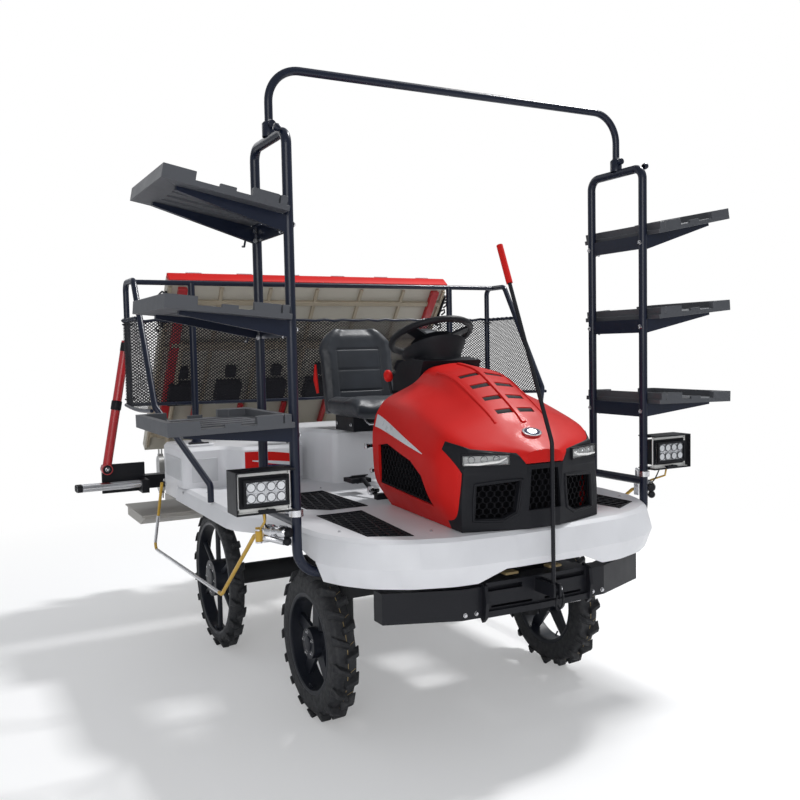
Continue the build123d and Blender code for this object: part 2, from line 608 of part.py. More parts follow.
# ---------------------------------------------------------------- chassis
def chassis():
    top = RAIL_Z + RAIL_H
    pieces = []
    for x in (-RAIL_X, RAIL_X):
        pieces.append(block((x - RAIL_W / 2, x + RAIL_W / 2), (RAIL_FRONT, RAIL_REAR), (RAIL_Z, top)))
    arm_top = DECK_TOP - DECK_WALL
    for y, half in ARM_ROWS:
        pieces += both(block((RAIL_X - 25, half), (y - ARM_W / 2, y + ARM_W / 2), (arm_top - ARM_H, arm_top)))
        for x in (-RAIL_X, RAIL_X):
            pieces.append(block((x - 25, x + 25), (y - ARM_W / 2, y + ARM_W / 2), (top - 5, arm_top - 5)))
    for y in CROSS_ROWS:
        pieces.append(block((-RAIL_X, RAIL_X), (y - 30, y + 30), (RAIL_Z + 10, top - 10)))
    # brackets that carry the pins of the lower and upper links
    pin_y, pin_z = LOWER_PIVOT
    outer = LINK_X + LINK_W / 2 + LINK_PLAY
    for x in (-outer - 14, outer):
        pieces.append(side_prism(
            ((pin_y - 90, top), (pin_y - 90, pin_z), (pin_y - 30, pin_z - 35), (pin_y + 30, pin_z - 35),
             (pin_y + 40, pin_z + LINK_HEIGHT + 35), (pin_y - 30, pin_z + LINK_HEIGHT + 35)), x, x + 14))
    for z in (pin_z, pin_z + LINK_HEIGHT):
        pieces.append(rod((-outer - 14, pin_y, z), (outer + 14, pin_y, z), PIN_D))
    # ears and pin that carry the lift cylinder
    base_y, base_z = BARREL_PIVOT
    for side in (-1, 1):
        x = BARREL_X + side * (BARREL_EYE_W / 2 + 2 + EAR_W / 2)
        pieces.append(block((x - EAR_W / 2, x + EAR_W / 2), (base_y - EAR_HALF, base_y + EAR_HALF), (top - 20, base_z + EAR_HALF)))
    reach = BARREL_EYE_W / 2 + 2 + EAR_W
    pieces.append(rod((BARREL_X - reach, base_y, base_z), (BARREL_X + reach, base_y, base_z), CYLINDER_PIN_D))
    keep("chassis_frame", fused(*pieces))
    keep("engine", block((-ENGINE_X, ENGINE_X), ENGINE_Y, (top, ENGINE_TOP)))


def bumper_ring(forward, low, high):
    """The swept beam's body with its face moved forward, between two heights."""
    face_y = BUMPER_Y - forward
    front = ((BUMPER_HALF, face_y + BUMPER_SWEEP), (BUMPER_STRAIGHT, face_y), (0.0, face_y - BUMPER_CROWN),
             (-BUMPER_STRAIGHT, face_y), (-BUMPER_HALF, face_y + BUMPER_SWEEP))
    depth = BUMPER_DEPTH + forward
    back = [(x, y + depth) for x, y in reversed(front) if x]
    outline = Polyline(*[(x, y, low) for x, y in list(front) + back], close=True)
    return extrude(make_face(outline), amount=high - low, dir=(0, 0, 1))


def bumper():
    low, high = BUMPER_Z
    lip_out, lip_height = BUMPER_LIP
    fin_x, fin_thick = BUMPER_FIN
    beam = bumper_ring(0, low, high)
    for side in (-1, 1):
        beam -= block((side * fin_x, side * 2 * BUMPER_HALF), (-FAR, BUMPER_Y + FAR), (high - BUMPER_WING_DROP, high))
    lip = bumper_ring(lip_out, low, low + lip_height) & block((-fin_x, fin_x), (-FAR, FAR), (0, FAR))
    pieces = [beam, lip]
    for side in (-1, 1):
        outline = [(BUMPER_Y + y, high + z) for y, z in FIN_OUTLINE]
        pieces.append(side_prism(outline, side * fin_x - fin_thick / 2, side * fin_x + fin_thick / 2))
        x = side * RAIL_X
        pieces.append(block((x - RAIL_W / 2, x + RAIL_W / 2), (BUMPER_Y + BUMPER_DEPTH / 2, RAIL_FRONT),
                            (RAIL_Z, RAIL_Z + RAIL_H)))
    body = fused(*pieces)
    for from_x, to_x, from_z, to_z in BUMPER_SLOTS:
        slot = block((from_x, to_x), (BUMPER_Y - FAR, BUMPER_Y - BUMPER_CROWN + BUMPER_SLOT_DEPTH), (from_z, to_z))
        body -= [slot, mirrored(slot)]
    # fork and pin of the centre pole
    foot_y, foot_z = POLE_FOOT
    gap, cheek, half = POLE_FORK
    cheeks = [block((POLE_X + side * gap, POLE_X + side * (gap + cheek)), (foot_y - half, BUMPER_Y),
                    (foot_z - half, foot_z + half)) for side in (-1, 1)]
    pin = rod((POLE_X - gap - cheek, foot_y, foot_z), (POLE_X + gap + cheek, foot_y, foot_z), POLE_PIN_D)
    keep("front_bumper", fused(body, *cheeks, pin))


def grid(outline, low, high):
    """Slats crossing at right angles inside an outline of (x, y) points."""
    face = make_face(Polyline(*[(x, y, low) for x, y in outline], close=True))
    solid = extrude(face, amount=high - low, dir=(0, 0, 1))
    inner = extrude(offset(face, -GRATE_EDGE), amount=high - low, dir=(0, 0, 1))
    middle = solid.center()
    reach = 400.0
    count = int(reach // GRATE_PITCH)
    slats = []
    for number in range(-count, count + 1):
        place = number * GRATE_PITCH
        slats.append(block((place - GRATE_BAR / 2, place + GRATE_BAR / 2), (-reach, reach), (0, high - low)))
        slats.append(block((-reach, reach), (place - GRATE_BAR / 2, place + GRATE_BAR / 2), (0, high - low)))
    net = Pos(middle.X, middle.Y, low) * Rot(0, 0, GRATE_SLOPE) * fused(*slats)
    return (solid - inner) + (net & solid)


def deck_prism(inset, top, low):
    """The deck's body, widest at the ridge, from its outline moved inwards by inset."""
    half = [(x - inset, y + inset) for x, y in DECK_OUTLINE]
    upper = plan_prism(half, DECK_RIDGE_Z, top, DECK_BEND, taper=DECK_TAPER_UP)
    lower = plan_prism(half, DECK_RIDGE_Z, low, DECK_BEND, taper=DECK_TAPER_DOWN)
    return upper + lower


def deck():
    outer = deck_prism(0, DECK_TOP, DECK_SKIRT_LOW)
    rim = outer.edges().filter_by(lambda edge: abs(edge.center().Z - DECK_TOP) < 1)
    outer = chamfer(rim, DECK_CHAMFER)
    inner = deck_prism(DECK_WALL, DECK_TOP - DECK_WALL, DECK_SKIRT_LOW - 5)
    shape = outer - inner
    # the skirt's lower edge: high along the sides, low round the front corners, high again in the middle
    beyond = DECK_REAR + FAR
    slope_end = (DECK_SKIRT_END + DECK_SKIRT_SLOPE[0], DECK_SKIRT_SIDE)
    slope_start = (DECK_SKIRT_END, DECK_SKIRT_SIDE - DECK_SKIRT_SLOPE[1])
    shape -= side_prism((slope_end, (beyond, DECK_SKIRT_SIDE), (beyond, 0), (DECK_SKIRT_END, 0), slope_start),
                        -FAR, FAR)
    top_half, low_half = DECK_NOTCH_HALF
    shape -= front_prism(((low_half, DECK_SKIRT_LOW - DECK_CHAMFER), (top_half, DECK_NOTCH_Z)), -FAR, DECK_NOTCH_REAR)
    shape -= block((-FAR, FAR), (DECK_REAR, beyond), (0, FAR))
    bay_half, bay_front, bay_rear = ENGINE_BAY
    shape -= block((-bay_half, bay_half), (bay_front, bay_rear), (DECK_TOP - 60, DECK_TOP + 10))
    bars = []
    for outline in GRATES:
        face = make_face(Polyline(*[(x, y, DECK_TOP - 40) for x, y in outline], close=True))
        hole = extrude(offset(face, GRATE_GAP), amount=60, dir=(0, 0, 1))
        shape -= [hole, mirrored(hole)]
        bars += both(grid(outline, DECK_TOP - GRATE_DEPTH, DECK_TOP - 1))
    keep("deck", shape)
    keep("deck_grates", *bars)


def body_prisms(inset, low):
    """The rear body's lower part and its raised middle, with the outlines moved inwards by inset."""
    inner_x, outer_x, bulge_y = BODY_BULGE
    outer_flare, inner_flare = BODY_FLARE
    wider, before, behind = PEDESTAL_UPPER
    half = [
        (BODY_HALF - inset, BODY_REAR - inset),
        (BODY_HALF - inset, BODY_FRONT + inset),
        (outer_x, BODY_FRONT + inset),
        (outer_x - outer_flare, bulge_y + inset),
        (inner_x + inner_flare, bulge_y + inset - inner_flare),
        (inner_x - inner_flare - inset, BODY_FRONT + inset),
        (PEDESTAL_HALF - inset, BODY_FRONT + inset),
        (PEDESTAL_HALF - inset - inner_flare, PEDESTAL_FRONT + inset),
    ]
    half_upper = [
        (PEDESTAL_HALF + wider - inset, BODY_REAR - before - inset),
        (PEDESTAL_HALF + wider - inset, BODY_FRONT + behind + inset),
        (PEDESTAL_HALF - inset - inner_flare, PEDESTAL_FRONT + inset),
    ]
    main = plan_prism(half, low, BODY_TOP - inset, BODY_BEND)
    upper = plan_prism(half_upper, low, PEDESTAL_TOP - inset, BODY_BEND)
    return main, upper


def top_edges(solid, height):
    """The edges of a solid at one height."""
    return solid.edges().filter_by(lambda edge: abs(edge.center().Z - height) < 1)


def rear_body():
    main, upper = body_prisms(0, DECK_TOP)
    main = chamfer(top_edges(main, BODY_TOP), BODY_CHAMFER)
    upper = chamfer(top_edges(upper, PEDESTAL_TOP), BODY_CHAMFER)
    inner_main, inner_upper = body_prisms(DECK_WALL, DECK_TOP - DECK_WALL)
    shape = (main + upper) - [inner_main, inner_upper]
    # the skirt behind the deck
    lap = 5.0
    inner_half = BODY_HALF - DECK_WALL
    skirt = block((-BODY_HALF, BODY_HALF), (DECK_REAR + SKIRT_GAP, BODY_REAR), (BODY_LOW, DECK_TOP + lap))
    skirt -= block((-inner_half, inner_half), (DECK_REAR, BODY_REAR - DECK_WALL), (BODY_LOW - lap, DECK_TOP + 2 * lap))
    upright = skirt.edges().filter_by(Axis.Z).sort_by(Axis.Y)[-2:]
    skirt = fillet(upright, BODY_BEND)
    shape += skirt
    notch_half, notch_top = LINK_NOTCH
    shape -= block((-notch_half, notch_half), (BODY_REAR - 5 * DECK_WALL, BODY_REAR + lap), (BODY_LOW - lap, notch_top))
    keep("rear_body", shape)
    handle_x, handle_y = HANDLE_PLACE
    handle = Pos(-handle_x, handle_y, BODY_TOP) * SlotOverall(*HANDLE_SIZE)
    keep("body_handles", *both(extrude(handle, HANDLE_RISE)))


# ---------------------------------------------------------------- bonnet
def bonnet_body(inset):
    """The bonnet's outer body, or the same moved inwards by inset."""
    sections = []
    for y, half in BONNET_SECTIONS:
        points = [(x - inset if x > 0 else x, z - inset if z > BONNET_BASE else z - 3 * inset) for x, z in half]
        ring = points + [(-x, z) for x, z in reversed(points[:-1])]
        place = y + inset if y < -650 else y + 3 * inset if y > -20 else y
        sections.append(make_face(Polyline(*[(x, place, z) for x, z in ring], close=True)))
    return loft(sections, ruled=True)


def hex_cells(width, height):
    """Hexagonal cells over a rectangle about the origin, as flat faces."""
    across = HEX_PITCH
    rise = HEX_PITCH * 0.75
    cells = []
    for row in range(-int(height / rise / 2) - 1, int(height / rise / 2) + 2):
        for column in range(-int(width / across / 2) - 1, int(width / across / 2) + 2):
            x = (column + 0.5 * (row % 2)) * across
            cell = RegularPolygon((across - HEX_WALL) / 2, 6, major_radius=False, rotation=30)
            cells.append(Pos(x, row * rise) * cell)
    return cells


def honeycomb(outline, plane, thickness, rim):
    """A plate with a solid rim and hexagonal holes, from an outline in a plane."""
    face = make_face(Polyline(*outline, close=True))
    box = face.bounding_box()
    middle = box.center()
    inner = offset(face, -rim)
    holes = Sketch() + [Pos(middle.X, middle.Y) * cell for cell in hex_cells(box.size.X, box.size.Y)]
    return plane.location * extrude(face - (inner & holes), thickness)


def bonnet():
    shell = bonnet_body(0) - bonnet_body(BONNET_WALL)
    # open and slanted at the back towards the dashboard
    low, high = BONNET_REAR_EDGE
    shell -= side_prism((low, high, (high[0], 1600), (200, 1600), (200, 800), (low[0], 800)), -500, 500)
    zone = front_prism(MASK_OUTLINE, -900, MASK_REAR)
    mask = shell & zone
    shell -= zone
    # louvres
    start, end = LOUVRE_ROWS
    for number in range(LOUVRES):
        share = number / (LOUVRES - 1)
        y = start + (end - start) * share
        outer = LOUVRE_OUTER[0] + (LOUVRE_OUTER[1] - LOUVRE_OUTER[0]) * share
        slot = block((LOUVRE_INNER, outer), (y - LOUVRE_SLOT / 2, y + LOUVRE_SLOT / 2), (1250, 1600))
        shell -= [slot, mirrored(slot)]
    # honeycomb panels in the sides, set back in their openings
    cut = side_prism(SIDE_PANEL, -500, -250)
    shell -= [cut, mirrored(cut)]
    keep("bonnet_shell", shell)
    plane = Plane(origin=(-362 + SIDE_PANEL_SETBACK, 0, 0), x_dir=(0, 1, 0), z_dir=(1, 0, 0))
    panel = honeycomb(SIDE_PANEL, plane, GRILLE_THICK, 8)
    keep("bonnet_side_panels", *both(panel))
    # grilles of the mask
    opening = front_prism((GRILLE_MIDDLE[0], GRILLE_MIDDLE[1]), -900, -600)
    side_opening = extrude(make_face(Polyline(*[(x, -600, z) for x, z in GRILLE_SIDE], close=True)),
                           amount=300, dir=(0, -1, 0))
    x, y, z = HEADLAMP_PLACE
    lamp = Pos(-x, y, z) * Rot(0, 0, -HEADLAMP_TURN) * Box(*HEADLAMP)
    pocket = Pos(-x, y, z) * Rot(0, 0, -HEADLAMP_TURN) * Box(*[size + 1 for size in HEADLAMP])
    solid_mask = mask
    mask = mask - [opening, side_opening, mirrored(side_opening), pocket, mirrored(pocket)]
    front = Plane(origin=(0, -600, 0), x_dir=(1, 0, 0), z_dir=(0, -1, 0))
    sheet = bonnet_body(GRILLE_INSET) - bonnet_body(GRILLE_INSET + GRILLE_THICK)
    nets = []
    for outline in (GRILLE_SIDE, [(-x, z) for x, z in GRILLE_SIDE],
                    list(GRILLE_MIDDLE) + [(-x, z) for x, z in reversed(GRILLE_MIDDLE)]):
        face = make_face(Polyline(*outline, close=True))
        grown = offset(face, 6)
        box = face.bounding_box()
        middle = box.center()
        holes = Sketch() + [Pos(middle.X, middle.Y) * cell for cell in hex_cells(box.size.X, box.size.Y)]
        prism = front.location * extrude(grown - (face & holes), 300)
        nets.append(prism & sheet)
    keep("bonnet_mask", fused(mask))
    keep("mask_grilles", *nets)
    keep("headlamps", *both(lamp))


# ---------------------------------------------------------------- driver's place
def lean(local):
    """Turn a shape built upright at the steering wheel's middle to the column's lean."""
    y, z = WHEEL_CENTRE
    return Pos(0, y, z) * Rot(-COLUMN_LEAN, 0, 0) * local


def cone(low_radius, high_radius, height, top):
    """A cone about Z from its upper face down."""
    return Pos(0, 0, top - height / 2) * Cone(low_radius, high_radius, height)


def dashboard():
    column = side_prism(DASH_OUTLINE, -DASH_HALF, DASH_HALF)
    middle, length = COLUMN_TUBE
    tube = lean(Pos(0, 0, middle) * Cylinder(COLUMN_D / 2, length))
    bowl = lean(cone(*COLUMN_BOWL))
    bore = lean(Pos(0, 0, -STEER_BORE_END / 2) * Cylinder(STEER_SHAFT_D / 2 + SPINDLE_PLAY, STEER_BORE_END))
    keep("dashboard", fused(column, tube, bowl) - bore)


def steering_wheel():
    low_radius, high_radius, height, top = WHEEL_DISH
    ring_radius = (WHEEL_RIM_D - WHEEL_GRIP_D) / 2
    ring = Torus(ring_radius, WHEEL_GRIP_D / 2)
    dish = cone(low_radius, high_radius, height, top)
    width, thick = WHEEL_SPOKE
    half = thick / 2
    side = ((high_radius / 2, top - thick), (ring_radius, -half), (ring_radius, half), (high_radius / 2, top))
    spokes = [Rot(0, 0, angle) * Rot(0, 0, -90) * side_prism(side, -width / 2, width / 2)
              for angle in WHEEL_SPOKE_ANGLES]
    shaft = rod((0, 0, top - height / 2), (0, 0, -STEER_SHAFT_LENGTH), STEER_SHAFT_D)
    keep("steering_wheel", lean(fused(ring, dish, shaft, *spokes)))


def controls():
    pedal_arm = bent_tube([(PEDAL_X, y, z) for y, z in PEDAL_ROUTE], PEDAL_ARM_D, PEDAL_ARM_D)
    end_y, end_z = PEDAL_ROUTE[-1]
    half_x, half_y, half_z = PEDAL_PLATE
    pedal = Pos(PEDAL_X, end_y, end_z + half_z) * Box(2 * half_x, 2 * half_y, 2 * half_z)
    start_y, start_z = PEDAL_ROUTE[0]
    foot = block((PEDAL_X - PEDAL_ARM_D / 2, -DASH_HALF), (start_y - PEDAL_ARM_D, start_y + PEDAL_ARM_D / 2),
                 (DECK_TOP, start_z + PEDAL_ARM_D / 2))
    base, knob = LEVER
    stem = rod(base, knob, LEVER_D)
    crank = rod((-DASH_HALF, base[1], base[2]), base, LEVER_D)
    joint = Pos(*base) * Sphere(LEVER_D / 2)
    ball = Pos(*knob) * Sphere(LEVER_KNOB_D / 2)
    keep("controls", fused(foot, pedal_arm, pedal), fused(crank, joint, stem, ball))


def seat():
    top = SEAT_LOW + CUSHION_THICK
    cushion = block((-SEAT_HALF, SEAT_HALF), (SEAT_FRONT, SEAT_REAR - BACK_THICK), (SEAT_LOW, top))
    keep("seat_cushion", fillet(cushion.edges().filter_by(Axis.Z), CUSHION_BEND))
    back = block((-SEAT_HALF, SEAT_HALF), (0, BACK_THICK), (0, BACK_TOP - SEAT_LOW))
    back = fillet(back.edges().filter_by(Axis.Y), BACK_BEND)
    keep("seat_back", Pos(0, SEAT_REAR - BACK_THICK + SEAT_JOINT, SEAT_LOW) * Rot(-BACK_LEAN, 0, 0) * back)
    keep("seat_base", block((-SEAT_BASE_HALF, SEAT_BASE_HALF), SEAT_BASE_Y, (PEDESTAL_TOP, SEAT_LOW)))


# ---------------------------------------------------------------- racks
def shelf():
    """A level shelf with its inner edge at x = 0 and its underside at z = 0."""
    width = SHELF_OUTER - SHELF_INNER
    middle = -width / 2
    plate = block((-width, 0), (SHELF_FRONT, SHELF_REAR), (0, SHELF_THICK))
    pitch = (SHELF_REAR - SHELF_FRONT) / (SHELF_SLOTS + 1)
    for number in range(SHELF_SLOTS):
        slot = Pos(middle, SHELF_FRONT + pitch * (number + 1), 0) * SlotOverall(*SHELF_SLOT)
        plate -= extrude(slot, SHELF_THICK)
    outer_rim = block((-width, -width + SHELF_RIM_W), (SHELF_FRONT, SHELF_REAR), (0, SHELF_RIM))
    edge_x = -SHELF_RIM_IN
    inner_rim = block((edge_x - SHELF_RIM_W, edge_x), (SHELF_FRONT, SHELF_REAR), (0, SHELF_RIM))
    length, depth, cut = SHELF_BLOCK
    tab_length, tab_width, tab_height = SHELF_TAB
    ends = []
    for edge, inwards in ((SHELF_FRONT, 1), (SHELF_REAR, -1)):
        ends.append(block((-width, -width + SHELF_RETURN), (edge, edge + inwards * SHELF_RIM_W), (0, SHELF_RIM)))
        corner = [(edge_x - length, 0), (edge_x - cut, 0), (edge_x, cut), (edge_x, depth),
                  (edge_x - length + cut, depth), (edge_x - length, depth - cut)]
        outline = Polyline(*[(x, edge + inwards * y) for x, y in corner], close=True)
        ends.append(extrude(make_face(outline), amount=SHELF_RIM, dir=(0, 0, 1)))
        ends.append(block((middle - tab_length / 2, middle + tab_length / 2), (edge, edge + inwards * tab_width),
                          (0, tab_height)))
    return fused(plate, outer_rim, inner_rim, *ends)


def racks():
    x = -RACK_X
    top = RACK_TOP - RACK_TUBE_D / 2
    arm_y = ARM_ROWS[0][0]
    foot = bent_tube(((-RACK_FOOT_X, RACK_FRONT, RACK_FOOT_Z), (x, RACK_FRONT, RACK_FOOT_Z), (x, RACK_FRONT, RACK_LOW)),
                     RACK_TUBE_D, RACK_FOOT_BEND)
    frame = bent_tube(((x, RACK_FRONT, RACK_LOW), (x, RACK_FRONT, top), (x, RACK_REAR, top), (x, RACK_REAR, RACK_LOW)),
                      RACK_TUBE_D, RACK_BEND)
    bar_z = RACK_LOW + RACK_TUBE_D / 2
    low_bar = rod((x, RACK_FRONT, bar_z), (x, RACK_REAR, bar_z), RACK_TUBE_D)
    arm_low = DECK_TOP - DECK_WALL - ARM_H
    tie_length, tie_half = RACK_TIE
    tie = block((-RACK_FOOT_X - tie_length, -RACK_FOOT_X), (arm_y - tie_half, arm_y + tie_half), (RACK_FOOT_Z, arm_low))
    pieces = [frame, foot, low_bar, tie]
    shelves = []
    reach = BRACKET_REACH * (SHELF_OUTER - SHELF_INNER)
    inner = SHELF_INNER - RACK_X
    arm_outline = ((inner, 0), (inner, -BRACKET_DEPTH), (-reach, -BRACKET_TIP), (-reach, 0))
    for height, tilt in SHELF_TIERS:
        place = Pos(-SHELF_INNER, 0, height) * Rot(0, tilt, 0)
        shelves.append(place * shelf())
        pieces.append(block((x - BRACKET_THICK / 2, x + BRACKET_THICK / 2), (RACK_FRONT, RACK_REAR),
                            (height - BRACKET_DEPTH, height)))
        for y in (RACK_FRONT, RACK_REAR):
            side = make_face(Polyline(*[(px, y - BRACKET_W / 2, pz) for px, pz in arm_outline], close=True))
            pieces.append(place * extrude(side, amount=BRACKET_W, dir=(0, 1, 0)))
    rack = fused(*pieces)
    keep("rack_right", rack)
    keep("rack_left", mirrored(rack))
    keep("shelves_right", *shelves)
    keep("shelves_left", *[mirrored(one) for one in shelves])
    middle = (RACK_FRONT + RACK_REAR) / 2
    arch = bent_tube(((x, middle, RACK_TOP), (x, middle, ARCH_TOP), (-x, middle, ARCH_TOP), (-x, middle, RACK_TOP)),
                     ARCH_D, ARCH_BEND)
    keep("arch_bar", arch)


def work_lamps():
    half_w, half_h = LAMP_W / 2, LAMP_H / 2
    body = block((-half_w, half_w), (0, LAMP_DEPTH), (-half_h, half_h))
    lens = block((LENS_INSET - half_w, half_w - LENS_INSET), (-LENS_THICK, 0), (LENS_INSET - half_h, half_h - LENS_INSET))
    width = half_w + HOOD_GAP
    height = half_h + HOOD_GAP
    hood = block((-width - HOOD_WALL, width), (-HOOD_FRONT, HOOD_DEPTH - HOOD_FRONT), (-height - HOOD_WALL, height + HOOD_WALL))
    hood -= block((-width, width + HOOD_WALL), (-HOOD_DEPTH, HOOD_DEPTH), (-height, height))
    foot_half, foot_front, foot_rear = LAMP_FOOT
    foot = block((-foot_half, foot_half), (foot_front, foot_rear), (-height - LAMP_JOINT, LAMP_JOINT - half_h))
    reach = LAMP_X - RACK_X - RACK_TUBE_D / 2
    arm_w, arm_h = LAMP_ARM_HALF
    arm_y = RACK_FRONT - LAMP_Y
    arms = [block((width - 2 * arm_w, reach), (arm_y - arm_w, arm_y + arm_w), (z - arm_h, z + arm_h))
            for z in (-height - LAMP_JOINT, height + LAMP_JOINT)]
    place = Pos(-LAMP_X, LAMP_Y, LAMP_Z)
    keep("lamp_housings", *both(place * fused(body, hood, foot, *arms)))
    keep("lamp_lenses", *both(place * lens))


# ---------------------------------------------------------------- guard rail and net
def guard():
    x = -GUARD_X
    foot_x, foot_y = GUARD_FOOT
    bend_y, bend_z = GUARD_ELBOW
    side = bent_tube((
        (-foot_x, foot_y, DECK_TOP), (-foot_x, foot_y, DECK_TOP + GUARD_FOOT_RISE), (x, bend_y, bend_z),
        (x, GUARD_SHOULDER_Y, GUARD_TOP), (x, GUARD_REAR, GUARD_TOP), (x, GUARD_REAR, GUARD_LEG_LOW)),
        RAIL_D, RAIL_BEND)
    post = rod((-GUARD_POST_X, GUARD_POST_Y, BODY_TOP), (-GUARD_POST_X, GUARD_POST_Y, GUARD_TOP), GUARD_POST_D)
    bar = rod((x, GUARD_POST_Y, GUARD_TOP), (-x, GUARD_POST_Y, GUARD_TOP), GUARD_BAR_D)
    keep("guard_rail", fused(bar, *both(side), *both(post)))
    outer = GUARD_X + RAIL_D / 2 + NET_GAP
    rear = GUARD_REAR + RAIL_D / 2 + NET_GAP
    front_top, front_low = NET_FRONT
    outline = ((rear, NET_LOW), (rear, NET_TOP), (front_top, NET_TOP), (front_low, NET_LOW))
    sides = [side_prism(outline, sign * outer, sign * (outer + NET_THICK)) for sign in (-1, 1)]
    back = block((-outer - NET_THICK, outer + NET_THICK), (rear, rear + NET_THICK), (NET_LOW, NET_TOP))
    keep("guard_net", fused(back, *sides))


# ---------------------------------------------------------------- markers
def markers():
    foot_y, foot_z = POLE_FOOT
    top_y, top_z = POLE_TOP
    half = POLE_FORK[0] - POLE_SIDE_PLAY
    foot = rod((POLE_X - half, foot_y, foot_z), (POLE_X + half, foot_y, foot_z), POLE_FOOT_D)
    knee_y, knee_z = POLE_KNEE
    run = Vector(0, top_y - knee_y, top_z - knee_z).normalized()
    grip_start = Vector(POLE_X, top_y, top_z) - run * GRIP_LENGTH
    pole = bent_tube(((POLE_X, foot_y, foot_z), (POLE_X, knee_y, knee_z), tuple(grip_start)), POLE_D, POLE_BEND)
    bore_d = POLE_PIN_D + 2 * SPINDLE_PLAY
    bore = rod((POLE_X - POLE_D, foot_y, foot_z), (POLE_X + POLE_D, foot_y, foot_z), bore_d)
    keep("centre_pole", fused(foot, pole) - bore)
    keep("pole_grip", rod(tuple(grip_start), (POLE_X, top_y, top_z), GRIP_D))
    x = -SIDE_ROD_X
    hinge_y = SIDE_ROD_HINGE_Y
    low, high = SIDE_BOSS_Z
    boss = Pos(x, hinge_y, (low + high) / 2) * Cylinder(SIDE_BOSS_D / 2, high - low)
    bore = Pos(x, hinge_y, (low + high) / 2) * Cylinder(SIDE_PIN_D / 2 + SPINDLE_PLAY, high - low + 20)
    arm = bent_tube([(x, y, z) for y, z in SIDE_ROD_ROUTE], SIDE_ROD_D, 30)
    side_rod = fused(arm, boss) - bore
    keep("side_marker_right", side_rod)
    keep("side_marker_left", mirrored(side_rod))
    # clamp on the rack's front post with a fork and pin for the side rod
    ring = Pos(-RACK_X, RACK_FRONT, CLAMP_Z) * (
        Cylinder(RACK_TUBE_D / 2 + 8, CLAMP_H) - Cylinder(RACK_TUBE_D / 2, CLAMP_H))
    ears = [Pos(x, hinge_y, z) * Cylinder(SIDE_BOSS_D / 2, EAR_THICK)
            for z in (low - EAR_THICK / 2 - EAR_GAP, high + EAR_THICK / 2 + EAR_GAP)]
    pin = Pos(x, hinge_y, (low + high) / 2) * Cylinder(SIDE_PIN_D / 2, high - low + 2 * EAR_THICK)
    inner_x = x + SIDE_BOSS_D / 2 + 6
    web = block((inner_x, inner_x + 8), (hinge_y - 14, hinge_y + 14),
                (low - EAR_THICK - EAR_GAP, high + EAR_THICK + EAR_GAP))
    lips = [block((x, inner_x + 4), (hinge_y - 10, hinge_y + 10), (z - EAR_THICK / 2, z + EAR_THICK / 2))
            for z in (low - EAR_THICK / 2 - EAR_GAP, high + EAR_THICK / 2 + EAR_GAP)]
    away = Vector(inner_x + 4 + RACK_X, hinge_y - RACK_FRONT, 0).normalized() * (RACK_TUBE_D / 2 + 4)
    knee = (inner_x + 4, hinge_y, CLAMP_Z)
    strut = rod((-RACK_X + away.X, RACK_FRONT + away.Y, CLAMP_Z), knee, STRUT_D)
    drop = rod(knee, (inner_x + 4, hinge_y, high), STRUT_D)
    joint = Pos(*knee) * Sphere(STRUT_D / 2)
    keep("marker_clamps", *both(fused(ring, *ears, pin, web, *lips, strut, joint, drop)))


# ---------------------------------------------------------------- planting unit
def linkage():
    y0, z0 = LOWER_PIVOT
    dy, dz = LINK_VECTOR
    eye = LINK_H * 0.62

    def link(x, z_up, width):
        start = Vector(x, y0, z0 + z_up)
        end = Vector(x, y0 + dy, z0 + z_up + dz)
        face = Plane(origin=start, x_dir=end - start, z_dir=(1, 0, 0))
        length = (end - start).length
        bar = extrude(face * Pos(length / 2, 0) * Rectangle(length, LINK_H), width / 2, both=True)
        eyes = [extrude(Plane(origin=point, z_dir=(1, 0, 0)) * Circle(eye), width / 2, both=True) for point in (start, end)]
        bore = [extrude(Plane(origin=point, z_dir=(1, 0, 0)) * Circle(PIN_D / 2 + SPINDLE_PLAY), width, both=True)
                for point in (start, end)]
        return fused(bar, *eyes) - bore
    tie_y, tie_z = ROD_EYE
    tie = rod((-LINK_X, tie_y, tie_z), (LINK_X, tie_y, tie_z), TIE_D)
    keep("lower_links", fused(link(-LINK_X, 0, LINK_W), link(LINK_X, 0, LINK_W), tie))
    keep("upper_link", link(0, LINK_HEIGHT, LINK_W))


def lift_cylinder():
    """Barrel hinged on the chassis and rod that ends on the lower links' cross tie."""
    base = Vector(BARREL_X, *BARREL_PIVOT)
    eye = Vector(BARREL_X, *ROD_EYE)
    along = (eye - base).normalized()

    def stretch(start, end, diameter):
        return rod(tuple(base + along * start), tuple(base + along * end), diameter)

    def across(point, diameter, width):
        return rod((BARREL_X - width / 2, point.Y, point.Z), (BARREL_X + width / 2, point.Y, point.Z), diameter)

    foot = across(base, BARREL_D, BARREL_EYE_W)
    neck_length = BARREL_START + 10
    lay = Plane(origin=base + along * (neck_length / 2), x_dir=(1, 0, 0), z_dir=along)
    neck = lay.location * Box(BARREL_EYE_W - 1, BARREL_D * 0.7, neck_length)
    barrel = fused(foot, neck, stretch(BARREL_START, BARREL_LENGTH, BARREL_D))
    barrel -= across(base, CYLINDER_PIN_D + 2 * SPINDLE_PLAY, BARREL_D)
    barrel -= stretch(BARREL_BORE, BARREL_LENGTH + 10, LIFT_ROD_D + 2 * SPINDLE_PLAY)
    keep("lift_barrel", barrel)
    reach = (eye - base).length
    bore_d = TIE_D + 2 * ROD_EYE_PLAY
    ring = across(eye, bore_d + 2 * ROD_EYE_WALL, BARREL_EYE_W)
    stem = stretch(BARREL_LENGTH - LIFT_ROD_INSIDE, reach - bore_d / 2, LIFT_ROD_D)
    keep("lift_rod", fused(ring, stem) - across(eye, bore_d, BARREL_D))


